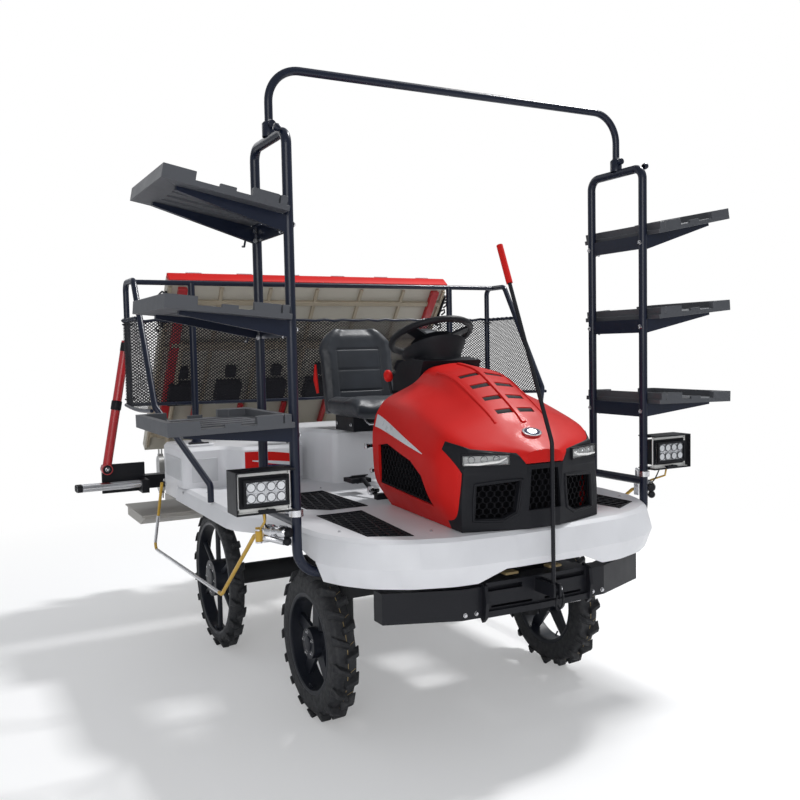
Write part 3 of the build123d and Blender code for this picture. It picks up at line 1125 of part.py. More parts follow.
def planter():
    y0, z0 = LOWER_PIVOT
    dy, dz = LINK_VECTOR
    rear_y, rear_z = y0 + dy, z0 + dz
    half = BEAM_SIZE / 2
    beam = block((-BEAM_HALF, BEAM_HALF), (BEAM_Y - half, BEAM_Y + half), (BEAM_Z - half, BEAM_Z + half))
    outer = LINK_X + LINK_W / 2 + LINK_PLAY
    plates = [side_prism(((rear_y - 35, rear_z - 35), (BEAM_Y, BEAM_Z - half), (BEAM_Y + 30, BEAM_Z + half),
                          (rear_y + 35, rear_z + LINK_HEIGHT + 35), (rear_y - 35, rear_z + LINK_HEIGHT + 35)), x, x + 14)
              for x in (-outer - 14, outer)]
    pins = [rod((-outer - 14, rear_y, z), (outer + 14, rear_y, z), PIN_D) for z in (rear_z, rear_z + LINK_HEIGHT)]
    # carriers of the seedling table and of the guard tubes
    carrier = []
    lower, upper = CARRIER_RAILS
    for up in CARRIER_RAILS:
        carrier.append(rod(table_point(-CARRIER_HALF, up, -CARRIER_GAP), table_point(CARRIER_HALF, up, -CARRIER_GAP), CARRIER_D))
    for x in (-CARRIER_HALF + 60, 0.0, CARRIER_HALF - 60):
        carrier.append(rod(table_point(x, lower - 20, -CARRIER_GAP), table_point(x, upper + 20, -CARRIER_GAP), CARRIER_D))
        carrier.append(block((x - 25, x + 25), (BEAM_Y - 25, BEAM_Y + 25), (BEAM_Z + half, BEAM_Z + half + 30)))
        carrier.append(rod((x, BEAM_Y, BEAM_Z + half + 18), table_point(x, lower, -CARRIER_GAP), CARRIER_D))
    keep("table_carrier", fused(*carrier))
    wings = []
    for side in (-1, 1):
        wings.append(block((side * (BEAM_HALF - 40), side * BEAM_HALF), (GUARD_TUBE_Y - 75, BEAM_Y), (BEAM_Z - 20, BEAM_Z + 55)))
        hx, hy, hz = MARKER_HINGE
        wings.append(block((side * (BEAM_HALF - 40), side * (hx + 20)), (hy + 38, hy + 58), (BEAM_Z - 20, hz + 20)))
    keep("planter_beam", fused(beam, *plates, *pins, *wings))
    cases = []
    shaft_end = ROW_PITCH / 2 - ROTOR_HUB_W / 2 + ROTOR_SHAFT_IN
    case_back = ROTOR_Y + CASE_END[0]
    case_half = CASE_END[1]
    outline = ((BEAM_Y + half, BEAM_Z - half), (BEAM_Y + half, BEAM_Z + half), (case_back - 20, ROTOR_Z + case_half),
               (case_back, ROTOR_Z), (case_back - 20, ROTOR_Z - case_half))
    for x in (-2 * ROW_PITCH, 0.0, 2 * ROW_PITCH):
        shaft = rod((x - shaft_end, ROTOR_Y, ROTOR_Z), (x + shaft_end, ROTOR_Y, ROTOR_Z), ROTOR_SHAFT_D)
        cases.append(fused(shaft, side_prism(outline, x - CASE_W / 2, x + CASE_W / 2)))
    keep("drive_cases", *cases)
    floats = []
    low, high = FLOAT_Z
    nose, tip = FLOAT_NOSE
    lip, lip_height = FLOAT_LIP
    for x, width, front_y, tail_x in FLOATS:
        reach = width / 2 - lip
        profile = ((front_y, high), (front_y, high - tip), (front_y + nose, low), (FLOAT_SHOULDER, low),
                   (FLOAT_SHOULDER, high))
        front = side_prism(profile, x - reach, x + reach)
        rim = block((x - width / 2, x + width / 2), (front_y - lip, FLOAT_SHOULDER), (high - lip_height, high))
        tail = block((tail_x - FLOAT_TAIL_HALF, tail_x + FLOAT_TAIL_HALF), (FLOAT_SHOULDER, FLOAT_REAR), (low, high))
        post = block((tail_x - FLOAT_POST_HALF, tail_x + FLOAT_POST_HALF),
                     (BEAM_Y - FLOAT_POST_HALF, BEAM_Y + FLOAT_POST_HALF), (high, BEAM_Z - half))
        floats.append(fused(front, rim, tail, post))
    keep("floats", *floats)
    guard_tubes = []
    for y in (GUARD_TUBE_Y - 42, GUARD_TUBE_Y + 4):
        guard_tubes += both(rod((BEAM_HALF, y, GUARD_TUBE_Z), (GUARD_TUBE_END, y, GUARD_TUBE_Z), GUARD_TUBE_D))
    keep("guard_tubes", *guard_tubes)


def table_plane():
    """Plane along the table: x across, y up the table, z out of its face."""
    low_y, low_z = TABLE_LOW
    top_y, top_z = TABLE_TOP
    up = Vector(0, top_y - low_y, top_z - low_z)
    return Plane(origin=(0, low_y, low_z), x_dir=(-1, 0, 0), z_dir=up.cross(Vector(1, 0, 0))), up.length


def table_point(x, up, out):
    """A point given across the machine, up the table and out of its face."""
    plane, length = table_plane()
    place = plane.location * Pos(-x, up, out)
    return tuple(place.position)


def table():
    plane, length = table_plane()
    panel = block((-TABLE_HALF, TABLE_HALF), (0, length), (0, TABLE_THICK))
    ribs = []
    for number in range(7):
        x = -TABLE_HALF + 8 + number * (2 * TABLE_HALF - 16) / 6
        ribs.append(block((x - 8, x + 8), (0, length), (0, TABLE_RIB)))
    ledge = block((-TABLE_HALF, TABLE_HALF), (-12, 4), (0, TABLE_RIB))
    keep("table_panel", plane.location * fused(panel, ledge, *ribs))
    cap = block((-TABLE_HALF, TABLE_HALF), (length + 0.5, length + 25), (-10, TABLE_RIB))
    keep("table_top_edge", plane.location * cap)


def rotor(x, drive_side):
    """A turning planting case with an arm and a forked claw at each end, and its hub on the drive side."""
    half_w = ROTOR_ARM_W / 2
    case = Plane(origin=(x - half_w, 0, 0), x_dir=(0, 0, 1), z_dir=(1, 0, 0)).location * SlotOverall(*ROTOR_CASE)
    pieces = [extrude(case, ROTOR_ARM_W)]
    arm_half, arm_from, arm_to = ROTOR_ARM
    for side in (-1, 1):
        pieces.append(block((x - arm_half, x + arm_half), (-arm_half, arm_half), (side * arm_from, side * arm_to)))
        for tine in (-1, 1):
            place = x + tine * CLAW_SPREAD
            pieces.append(block((place - CLAW_THICK / 2, place + CLAW_THICK / 2), (-CLAW_W / 2, CLAW_W / 2),
                                (side * (arm_to - CLAW_W), side * ROTOR_REACH)))
    mouth = x + drive_side * ROTOR_HUB_W / 2
    hub = rod((x, 0, 0), (mouth, 0, 0), ROTOR_HUB_D)
    bore_end = mouth - drive_side * (ROTOR_SHAFT_IN + ROTOR_END_PLAY)
    bore = rod((mouth + drive_side, 0, 0), (bore_end, 0, 0), ROTOR_SHAFT_D + 2 * SPINDLE_PLAY)
    return fused(*pieces, hub) - bore


def rotors():
    place = Pos(0, ROTOR_Y, ROTOR_Z)
    first = (ROWS - 1) / 2
    turning = [place * rotor((number - first) * ROW_PITCH, -1 if number % 2 else 1) for number in range(ROWS)]
    keep("planting_rotors", *turning)


def line_markers():
    hx, hy, hz = MARKER_HINGE
    tx, ty, tz = MARKER_TIP
    hub = rod((-hx, hy - 30, hz), (-hx, hy + 30, hz), 60)
    arm = rod((-hx, hy, hz), (-tx, ty, tz), MARKER_ARM_D)
    shape = fused(hub, arm)
    keep("line_marker_right", shape)
    keep("line_marker_left", mirrored(shape))


os.makedirs("parts", exist_ok=True)
wheels()
knuckles()
axles()
chassis()
bumper()
deck()
rear_body()
bonnet()
dashboard()
steering_wheel()
controls()
seat()
racks()
work_lamps()
guard()
markers()
linkage()
lift_cylinder()
planter()
table()
rotors()
line_markers()
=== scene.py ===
import math

import bmesh
import bpy
from mathutils import Matrix, Vector


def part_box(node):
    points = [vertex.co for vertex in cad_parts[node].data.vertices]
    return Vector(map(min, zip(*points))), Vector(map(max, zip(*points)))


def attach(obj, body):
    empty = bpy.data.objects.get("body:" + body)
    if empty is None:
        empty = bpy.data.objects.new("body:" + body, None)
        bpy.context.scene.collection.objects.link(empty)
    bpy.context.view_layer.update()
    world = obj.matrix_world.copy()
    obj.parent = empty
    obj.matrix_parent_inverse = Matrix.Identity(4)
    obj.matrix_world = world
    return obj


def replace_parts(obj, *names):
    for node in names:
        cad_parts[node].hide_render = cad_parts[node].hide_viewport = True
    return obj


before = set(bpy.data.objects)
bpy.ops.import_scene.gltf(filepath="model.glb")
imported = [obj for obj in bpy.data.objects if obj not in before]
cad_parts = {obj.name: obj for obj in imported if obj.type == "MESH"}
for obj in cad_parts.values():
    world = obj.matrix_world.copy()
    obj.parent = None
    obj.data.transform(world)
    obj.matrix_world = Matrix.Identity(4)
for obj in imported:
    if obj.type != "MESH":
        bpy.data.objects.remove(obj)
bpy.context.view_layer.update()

# Metres, in the CAD's frame: +Z up, the front faces -Y, the driver's right is -X.
# Places are given from the floor point below the front axle, as in the CAD source.
FRONT_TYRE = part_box("front_tyre_right")
AXLE_Y = (FRONT_TYRE[0].y + FRONT_TYRE[1].y) / 2
HANDS = (-1, 1)
SIDES = (("right", -1), ("left", 1))
FORWARD, BACK, UP, DOWN = Vector((0, 1, 0)), Vector((0, -1, 0)), Vector((0, 0, 1)), Vector((0, 0, -1))


def at(x, y, z):
    """A place given from the front axle, in the frame."""
    return Vector((x, y + AXLE_Y, z))


def route(hand, *points):
    """Places of (x, y, z) from the front axle, mirrored for the hand -1."""
    return [at(hand * x, y, z) for x, y, z in points]


def tilt(axis, degrees):
    return Matrix.Rotation(math.radians(degrees), 3, axis)


def circle(count, start=0.0):
    """Angles spread evenly round a circle, from a share of one step on."""
    return [2 * math.pi * (k + start) / count for k in range(count)]


def add_object(name, data):
    made = bpy.data.objects.new(name, data)
    bpy.context.scene.collection.objects.link(made)
    return made


def modify(made, name, kind, apply=False, **settings):
    """Adds a modifier with its settings, and applies it where asked."""
    modifier = made.modifiers.new(name, kind)
    for key, value in settings.items():
        setattr(modifier, key, value)
    if apply:
        bpy.context.view_layer.objects.active = made
        bpy.ops.object.modifier_apply(modifier=modifier.name)
    return modifier


# ---------------------------------------------------------------- camera, light and floor
CAMERA_PLACE = at(-2.05556, -3.45613, 1.58031)
CAMERA_YAW = 0.492536           # from straight back towards the left side
CAMERA_PITCH = 0.0591565        # down
CAMERA_ROLL = -0.0199038
CAMERA_LENS = 39.6              # mm on a 36 mm sensor


def camera():
    """The camera at the photograph's viewing angle."""
    yaw, pitch = CAMERA_YAW, CAMERA_PITCH
    forward = Vector((math.sin(yaw) * math.cos(pitch), math.cos(yaw) * math.cos(pitch), -math.sin(pitch)))
    level = Vector((math.cos(yaw), -math.sin(yaw), 0))
    over = level.cross(forward)
    right = level * math.cos(CAMERA_ROLL) + over * math.sin(CAMERA_ROLL)
    up = over * math.cos(CAMERA_ROLL) - level * math.sin(CAMERA_ROLL)
    data = bpy.data.cameras.new("camera")
    data.sensor_width = 36.0
    data.lens = CAMERA_LENS
    data.clip_end = 200.0
    placed = add_object("camera", data)
    rows = zip(right, up, -forward, CAMERA_PLACE)
    placed.matrix_world = Matrix([*rows, (0, 0, 0, 1)])
    bpy.context.scene.camera = placed


# each lamp: its place, width and height, and watts
LAMPS = {
    "key": ((4.6, -0.3, 8.0), (1.1, 1.1), 640),
    "fill": ((-4.5, -7.5, 3.2), (5.0, 3.5), 210),
    "back": ((-1.5, 7.0, 5.0), (6.0, 3.0), 70),
}
LAMP_AIM = Vector((0, 0, 0.8))
SKY_COLOUR, SKY_STRENGTH = (0.93, 0.96, 1.0, 1), 0.42
WHITE = (1, 1, 1, 1)
FLOOR_REACH = 14.0
FLOOR_COLOUR = (0.95, 0.95, 0.955, 1)
FLOOR_GLOW = 0.25               # share of white that the camera sees in the floor near the machine
FLOOR_FADE = (2.4, 4.6)         # distances between which the floor fades into white


def join(tree, value, target):
    """Gives an input its plain value, or links another node's output to it."""
    if isinstance(value, bpy.types.NodeSocket):
        tree.links.new(value, target)
    else:
        target.default_value = value


def add_node(tree, kind, settings=(), **inputs):
    """A shader node with its settings and inputs; _ stands for the blank in an input's name."""
    made = tree.nodes.new(f"ShaderNode{kind}")
    for key, value in settings:
        setattr(made, key, value)
    for name, value in inputs.items():
        join(tree, value, made.inputs[name.replace("_", " ")])
    return made


def blend(tree, share, first, second, output):
    """Ends a node tree in a mix of two shaders."""
    mix = add_node(tree, "MixShader")
    for number, source in enumerate((share, first.outputs[0], second.outputs[0])):
        tree.links.new(source, mix.inputs[number])
    add_node(tree, output, Surface=mix.outputs[0])


def light():
    """A high key from the driver's left, a soft fill from the camera's side and a bright world."""
    for name, (place, size, watts) in LAMPS.items():
        data = bpy.data.lights.new(name, "AREA")
        data.shape = "RECTANGLE"
        data.size, data.size_y = size
        data.energy = watts
        lamp = add_object(name, data)
        lamp.location = place
        lamp.rotation_mode = "QUATERNION"
        lamp.rotation_quaternion = (LAMP_AIM - Vector(place)).to_track_quat("-Z", "Y")
    world = bpy.data.worlds.new("world")
    bpy.context.scene.world = world
    world.use_nodes = True
    tree = world.node_tree
    tree.nodes.clear()
    lit = add_node(tree, "Background", Color=SKY_COLOUR, Strength=SKY_STRENGTH)
    seen = add_node(tree, "Background", Color=WHITE, Strength=1.0)
    blend(tree, add_node(tree, "LightPath").outputs["Is Camera Ray"], lit, seen, "OutputWorld")


def floor():
    """A pale floor that keeps the machine's shadow; only the camera sees it fade into white."""
    data = bpy.data.meshes.new("floor")
    corners = [(x * FLOOR_REACH, y * FLOOR_REACH, 0) for x, y in ((-1, -1), (1, -1), (1, 1), (-1, 1))]
    data.from_pydata(corners, [], [(0, 1, 2, 3)])
    made = add_object("floor", data)
    mat = bpy.data.materials.new("floor")
    mat.use_nodes = True
    tree = mat.node_tree
    tree.nodes.clear()
    length = add_node(tree, "VectorMath", [("operation", "LENGTH")])
    tree.links.new(add_node(tree, "TexCoord").outputs["Object"], length.inputs[0])
    fade = add_node(tree, "MapRange", Value=length.outputs["Value"], From_Min=FLOOR_FADE[0],
                    From_Max=FLOOR_FADE[1], To_Min=FLOOR_GLOW)
    seen = add_node(tree, "Math", [("operation", "MULTIPLY")])
    tree.links.new(fade.outputs["Result"], seen.inputs[0])
    tree.links.new(add_node(tree, "LightPath").outputs["Is Camera Ray"], seen.inputs[1])
    matte = add_node(tree, "BsdfDiffuse", Color=FLOOR_COLOUR)
    blend(tree, seen.outputs[0], matte, add_node(tree, "Emission"), "OutputMaterial")
    data.materials.append(mat)


# ---------------------------------------------------------------- materials
MATERIALS = {}
DUST = (0.17, 0.16, 0.15)
DUST_SHARE = 0.06               # of dust in a paint's colour where it lies thickest


class Shader:
    """A material whose nodes are added one after another."""

    def __init__(self, name):
        self.name = name
        self.mat = bpy.data.materials.new(name)
        self.mat.use_nodes = True
        self.tree = self.mat.node_tree
        self.coords = self.node("TexCoord").outputs["Object"]

    def node(self, kind, settings=(), **inputs):
        return add_node(self.tree, kind, settings, **inputs)

    def noise(self, scale, detail=3.0, rough=0.5, stretch=(1, 1, 1)):
        """Fractal noise; stretch scales the coordinates along the three axes."""
        mapping = self.node("Mapping", Scale=stretch, Vector=self.coords)
        made = self.node("TexNoise", Scale=scale, Detail=detail, Roughness=rough, Vector=mapping.outputs[0])
        return made.outputs["Fac"]

    def spread(self, value, low, high, to_low=0.0, to_high=1.0):
        made = self.node("MapRange", Value=value, From_Min=low, From_Max=high, To_Min=to_low, To_Max=to_high)
        return made.outputs["Result"]

    def mix(self, factor, first, second):
        """A mix of two colours or colour sockets."""
        made = self.node("Mix", [("data_type", "RGBA")], Factor=factor)
        for socket, colour in (("A", first), ("B", second)):
            target = [i for i in made.inputs if i.name == socket and i.type == "RGBA"][0]
            join(self.tree, colour if isinstance(colour, bpy.types.NodeSocket) else (*colour, 1), target)
        return [o for o in made.outputs if o.type == "RGBA"][0]

    def shades(self, factor, colour, share):
        """A colour that drifts to a share of itself."""
        return self.mix(factor, colour, [c * share for c in colour])

    def drift(self, scale, detail):
        return self.spread(self.noise(scale, detail), 0.35, 0.7)

    def bump(self, height, strength, distance, **before):
        made = self.node("Bump", Strength=strength, Distance=distance, Height=height, **before)
        return made.outputs["Normal"]

    def finish(self, colour, rough, normal, **sockets):
        """Links colour, roughness and normal; other sockets are set by name."""
        sockets.update(Base_Color=colour, Roughness=rough, Normal=normal)
        for name, value in sockets.items():
            join(self.tree, value, self.tree.nodes["Principled BSDF"].inputs[name.replace("_", " ")])
        MATERIALS[self.name] = self.mat


def paint(name, colour, rough, dust=DUST, coat=0.0, peel=0.12, gloss=0.5, grain=900.0):
    """Painted or moulded surface: slow colour drift, fine texture and a film of dust."""
    shader = Shader(name)
    colours = shader.shades(shader.drift(5.0, 3), colour, 0.93)
    film = shader.spread(shader.noise(150.0, 6, 0.7), 0.55, 0.85, 0, DUST_SHARE)
    roughness = shader.spread(shader.noise(14.0, 4, 0.6), 0.3, 0.7, rough - 0.03, rough + 0.05)
    normal = shader.bump(shader.noise(grain, 2), peel, 0.0006)
    shader.finish(shader.mix(film, colours, dust), roughness, normal, Coat_Weight=coat, Coat_Roughness=0.08,
                  Specular_IOR_Level=gloss)


def metal(name, colour, rough, brushed=(1, 1, 1), grain=180.0, depth=0.1):
    """Bare or plated metal with fine scratches and dulled patches."""
    shader = Shader(name)
    colours = shader.shades(shader.drift(9.0, 4), colour, 0.82)
    roughness = shader.spread(shader.noise(grain, 4, 0.6, brushed), 0.3, 0.7, rough - 0.06, rough + 0.1)
    normal = shader.bump(shader.noise(grain, 3, 0.6, brushed), depth, 0.0008)
    shader.finish(colours, roughness, normal, Metallic=1.0)


def rubber(name, colour, dust):
    """Tyre rubber: matt, with dust in the hollows and faint ribs."""
    shader = Shader(name)
    cloud = shader.spread(shader.noise(60.0, 6, 0.7), 0.45, 0.75)
    colours = shader.mix(shader.spread(cloud, 0, 1, 0, 0.4), colour, dust)
    roughness = shader.spread(shader.noise(40.0, 4), 0.3, 0.7, 0.55, 0.8)
    fine = shader.bump(shader.noise(420.0, 4), 0.25, 0.001)
    shader.finish(colours, roughness, shader.bump(cloud, 0.15, 0.002, Normal=fine))


def vinyl(name, colour):
    """Seat vinyl with leather grain and a soft sheen."""
    shader = Shader(name)
    grain = shader.node("TexVoronoi", Scale=420.0, Vector=shader.coords).outputs["Distance"]
    crease = shader.noise(28.0, 5, 0.6)
    colours = shader.shades(shader.drift(6.0, 3), colour, 1.5)
    roughness = shader.spread(crease, 0.3, 0.7, 0.36, 0.5)
    normal = shader.bump(grain, 0.35, 0.0007, Normal=shader.bump(crease, 0.12, 0.004))
    shader.finish(colours, roughness, normal, Sheen_Weight=0.1, Sheen_Roughness=0.4)


def clear(name, colour, rough=0.04):
    """Clear plastic of a lamp's lens, a little hazy where it is scuffed."""
    shader = Shader(name)
    haze = shader.spread(shader.noise(30.0, 5, 0.6), 0.45, 0.75, rough, rough + 0.12)
    tint = shader.shades(shader.spread(shader.noise(8.0, 2), 0.4, 0.7), colour, 0.94)
    normal = shader.bump(shader.noise(70.0, 3), 0.05, 0.001)
    shader.finish(tint, haze, normal, Transmission_Weight=0.92, IOR=1.49)


def materials():
    paint("black_steel", (0.010, 0.0105, 0.014), 0.42, coat=0.04, gloss=0.2)
    paint("black_cast", (0.017, 0.018, 0.02), 0.55, peel=0.5, gloss=0.25, grain=260.0)
    paint("engine_grey", (0.13, 0.13, 0.13), 0.5, peel=0.4, grain=260.0)
    paint("white_plastic", (0.70, 0.705, 0.73), 0.42, (0.55, 0.54, 0.55), coat=0.08, peel=0.05, gloss=0.35)
    paint("black_plastic", (0.0085, 0.009, 0.012), 0.5, peel=0.3, gloss=0.2, grain=700.0)
    paint("red_plastic", (0.56, 0.013, 0.011), 0.46, (0.42, 0.04, 0.03), coat=0.02, peel=0.04, gloss=0.12)
    paint("black_mesh", (0.006, 0.006, 0.008), 0.6, peel=0.2, gloss=0.12)
    paint("navy_tube", (0.007, 0.011, 0.026), 0.3, coat=0.1, gloss=0.3)
    paint("grey_plastic", (0.068, 0.072, 0.082), 0.5, (0.2, 0.2, 0.2), peel=0.35, grain=500.0)
    paint("wheel_black", (0.010, 0.012, 0.018), 0.4, coat=0.05, gloss=0.3)
    paint("yellow_rod", (0.55, 0.33, 0.035), 0.4)
    paint("beige_paint", (0.40, 0.34, 0.25), 0.42)
    paint("float_grey", (0.42, 0.40, 0.37), 0.55, peel=0.3, grain=400.0)
    paint("table_white", (0.50, 0.47, 0.40), 0.45)
    paint("red_paint", (0.45, 0.015, 0.02), 0.34, coat=0.3)
    paint("net_fabric", (0.010, 0.010, 0.014), 0.7, peel=0.8, gloss=0.2, grain=1400.0)
    paint("ochre_line", (0.30, 0.22, 0.10), 0.6)
    paint("silver_trim", (0.62, 0.64, 0.67), 0.28, (0.5, 0.5, 0.5), coat=0.3)
    paint("plate_blue", (0.012, 0.020, 0.070), 0.25, coat=0.5)
    paint("pale_grey", (0.56, 0.57, 0.59), 0.4, (0.5, 0.5, 0.5), coat=0.1)
    paint("lamp_white", (0.80, 0.80, 0.78), 0.25, (0.6, 0.6, 0.6), coat=0.4)
    paint("led_yellow", (0.75, 0.6, 0.2), 0.3)
    metal("case_aluminium", (0.55, 0.55, 0.54), 0.42, grain=320.0, depth=0.4)
    metal("chrome_steel", (0.72, 0.72, 0.74), 0.2, (1, 30, 30))
    metal("headlamp_silver", (0.90, 0.91, 0.93), 0.16, grain=60.0, depth=0.05)
    rubber("tyre", (0.012, 0.013, 0.016), (0.07, 0.068, 0.065))
    vinyl("seat_vinyl", (0.015, 0.018, 0.024))
    clear("lamp_lens", (0.95, 0.96, 0.97))


def dress_nodes():
    """Every CAD node takes the material of its slot."""
    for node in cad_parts.values():
        for entry in node.material_slots:
            entry.material = MATERIALS[entry.material.name.split(".")[0]]


# ---------------------------------------------------------------- building meshes
# turned fittings: facets round, then (radius, distance along the axis) in millimetres
PROFILES = {
    "projector": (24, (13.5, -4), (14.2, 2), (12, 3.5), (10, 1.5)),
    "projector_lens": (24, (10.5, 1), (7.5, 4.5), (0.2, 5.8)),
    "post_foot": (28, (45, 0), (45, 6), (28, 12), (19.5, 30), (18.5, 34)),
    "lever_knob": (24, (0.2, -12), (12, -10), (20, 2), (21.2, 14), (19, 30), (10, 42), (0.2, 44)),
    "pedal_boss": (20, (0.2, 0), (20, 2), (22, 12), (16, 24), (11, 50)),
    "upper_pin": (16, (11, 0), (11, 55), (14, 60), (14, 75), (0.2, 78)),
    "lower_pin": (16, (9, 0), (9, 35), (12, 40), (12, 50), (0.2, 52)),
    "boss_cap": (40, (75, -12), (78, -2), (70, 6), (40, 11), (0.3, 12)),
    "boss_plate": (32, (34, -4), (34, 1.8), (30, 2.6), (0.3, 2.6)),
    "arch_pin": (16, (10, -20), (14, 0), (14, 10), (0.3, 12)),
    "arch_collar": (28, (27, 0), (27, 50), (19, 58), (16, 60)),
    "tube_knob": (16, (12, 0), (15, 10), (12, 22), (0.3, 24)),
    "lamp_knob": (12, (7, 0), (7, 6), (0.2, 7)),
    "rod_knob": (16, (0.3, 0), (10, 0), (11, 10), (0.3, 12)),
    "clamp_barrel": (28, (0.3, 0), (20, 0), (24, 6), (24, 30), (19, 36), (19, 58), (25, 62), (25, 86),
                     (0.3, 87)),
    "clamp_pipe": (20, (0.3, 0), (13, 0), (13, 60), (16, 64), (16, 80), (0.3, 82)),
    "pipe_cuff": (16, (0.3, 0), (15, 0), (17, 12), (12, 20), (0.3, 22)),
    "barrel_cuff": (20, (18, -2), (20, 8), (16, 18), (0.3, 20)),
    "tube_plug": (24, (20.5, -30), (20.5, -2), (17, 4), (0.3, 4)),
    "marker_tip": (28, (25.5, 0), (26.5, 4), (26.5, 48), (20, 56)),
    "marker_band": (28, (25.5, 0), (29, 4), (29, 50), (25.5, 54)),
    "hinge_cap": (28, (26, 0), (24, 4), (0.3, 5)),
    "pole_pin": (14, (0.3, -4), (9, -4), (9, 6), (0.3, 8)),
}


class Builder:
    """Collects simple solids and sheets into one mesh."""

    def __init__(self):
        self.verts = []
        self.faces = []
        self.marks = []
        self.mark = 0

    def add(self, verts, faces):
        first = len(self.verts)
        self.verts += [Vector(v) for v in verts]
        self.faces += [tuple(first + i for i in face) for face in faces]
        self.marks += [self.mark] * len(faces)
        return self

    def box(self, middle, size, turn=None):
        """A box about its middle; turn is a rotation matrix."""
        turn = turn or Matrix.Identity(3)
        verts = [Vector(middle) + turn @ Vector((sx * size[0] / 2, sy * size[1] / 2, sz * size[2] / 2))
                 for sx in HANDS for sy in HANDS for sz in HANDS]
        faces = [(0, 1, 3, 2), (4, 6, 7, 5), (0, 4, 5, 1), (2, 3, 7, 6), (0, 2, 6, 4), (1, 5, 7, 3)]
        return self.add(verts, faces)

    def rings(self, rings, closed_ring=True, caps=True):
        """Joins rings of equal length one after another."""
        count = len(rings[0])
        faces = []
        for row in range(len(rings) - 1):
            a, b = row * count, (row + 1) * count
            for i in range(count if closed_ring else count - 1):
                j = (i + 1) % count
                faces.append((a + i, a + j, b + j, b + i))
        if caps and closed_ring:
            faces.append(tuple(reversed(range(count))))
            faces.append(tuple((len(rings) - 1) * count + i for i in range(count)))
        return self.add([v for ring in rings for v in ring], faces)

    def tube(self, points, radius, sides=10, closed=False, taper=None):
        """A round bar along points; taper gives the radius share at each point."""
        points = [Vector(p) for p in points]
        count = len(points)
        rings, normal = [], None
        for i, point in enumerate(points):
            before = points[i - 1] if i or closed else point
            after = points[(i + 1) % count] if i < count - 1 or closed else point
            along = (after - before).normalized()
            if normal is None:
                normal = along.orthogonal().normalized()
            normal = (normal - along * normal.dot(along)).normalized()
            side = along.cross(normal)
            reach = radius * (taper[i] if taper else 1.0)
            rings.append([point + (normal * math.cos(t) + side * math.sin(t)) * reach for t in circle(sides)])
        if closed:
            rings.append(rings[0])
        return self.rings(rings, caps=not closed)

    def lathe(self, centre, axis, profile, sides=24, caps=False):
        """Turns a profile of (radius, distance along the axis) about an axis."""
        axis = Vector(axis).normalized()
        out = axis.orthogonal().normalized()
        side = axis.cross(out)
        rings = [[Vector(centre) + axis * along + (out * math.cos(t) + side * math.sin(t)) * radius
                  for t in circle(sides)] for radius, along in profile]
        return self.rings(rings, caps=caps)

    def turned(self, kind, place, axis):
        """A fitting from the table of profiles."""
        sides, *profile = PROFILES[kind]
        return self.lathe(place, axis, [(radius / 1000, along / 1000) for radius, along in profile], sides)

    def bolt(self, place, axis, size):
        """A bolt head on its washer, standing out along the axis."""
        self.lathe(place, axis, ((0.0002, 0), (size * 0.95, 0), (size * 0.95, size * 0.15),
                                 (size * 0.8, size * 0.2)), 14)
        self.lathe(place, axis, ((size * 0.62, size * 0.15), (size * 0.62, size * 0.55),
                                 (size * 0.5, size * 0.66), (0.0002, size * 0.66)), 6)

    def prism(self, outline, depth):
        """A prism from a flat outline of points, moved by the vector depth."""
        outline = [Vector(p) for p in outline]
        return self.rings([outline, [p + Vector(depth) for p in outline]])

    def piece(self, name, materials, smooth=35.0, bevel=0.0, segments=2, body="chassis"):
        """The finished object, riding on a body."""
        materials = materials if isinstance(materials, tuple) else (materials,)
        data = bpy.data.meshes.new(name)
        data.from_pydata([tuple(v) for v in self.verts], [], self.faces)
        for material in materials:
            data.materials.append(MATERIALS[material])
        data.polygons.foreach_set("material_index", self.marks)
        shape = bmesh.new()
        shape.from_mesh(data)
        bmesh.ops.recalc_face_normals(shape, faces=shape.faces)
        shape.to_mesh(data)
        shape.free()
        made = add_object(name, data)
        if bevel:
            modify(made, "rounded", "BEVEL", width=bevel, segments=segments, limit_method="ANGLE",
                   angle_limit=math.radians(30))
        smooth_by_angle(data, smooth)
        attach(made, body)
        return made


def builders(count):
    return [Builder() for _ in range(count)]


def smooth_by_angle(data, degrees):
    """Smooth shading with sharp edges where faces meet at more than some degrees."""
    data.shade_smooth()
    data.set_sharp_from_angle(angle=math.radians(degrees))


def ring_route(centre, radius, count, across, up):
    """Points round a circle in the plane of two directions."""
    return [Vector(centre) + (Vector(across) * math.cos(t) + Vector(up) * math.sin(t)) * radius
            for t in circle(count)]


# ---------------------------------------------------------------- seat
PAD_VOXEL = 0.011
PAD_FRAMES = 15
PAD_PRESSURE = 4.0
PAD_AROUND = 36                 # points round a ring of a pad
PAD_INSET = 0.008               # of a pad's sides from its solid's
BOLSTER = 0.03                  # height of the side bolsters
BACK_STEPS, CUSHION_STEPS = 26, 22
PAD_SWELL = 0.009               # the furthest that the cloth moves out, and the reach of a seam
BACK_LEAN = math.radians(8.0)
SEAM_HALF = 0.125               # half width of the sewn middle panel
SEAMS_UP = (0.12, 0.235, 0.345)     # heights of the cross seams up the back
SEAM_DEPTH = 0.006


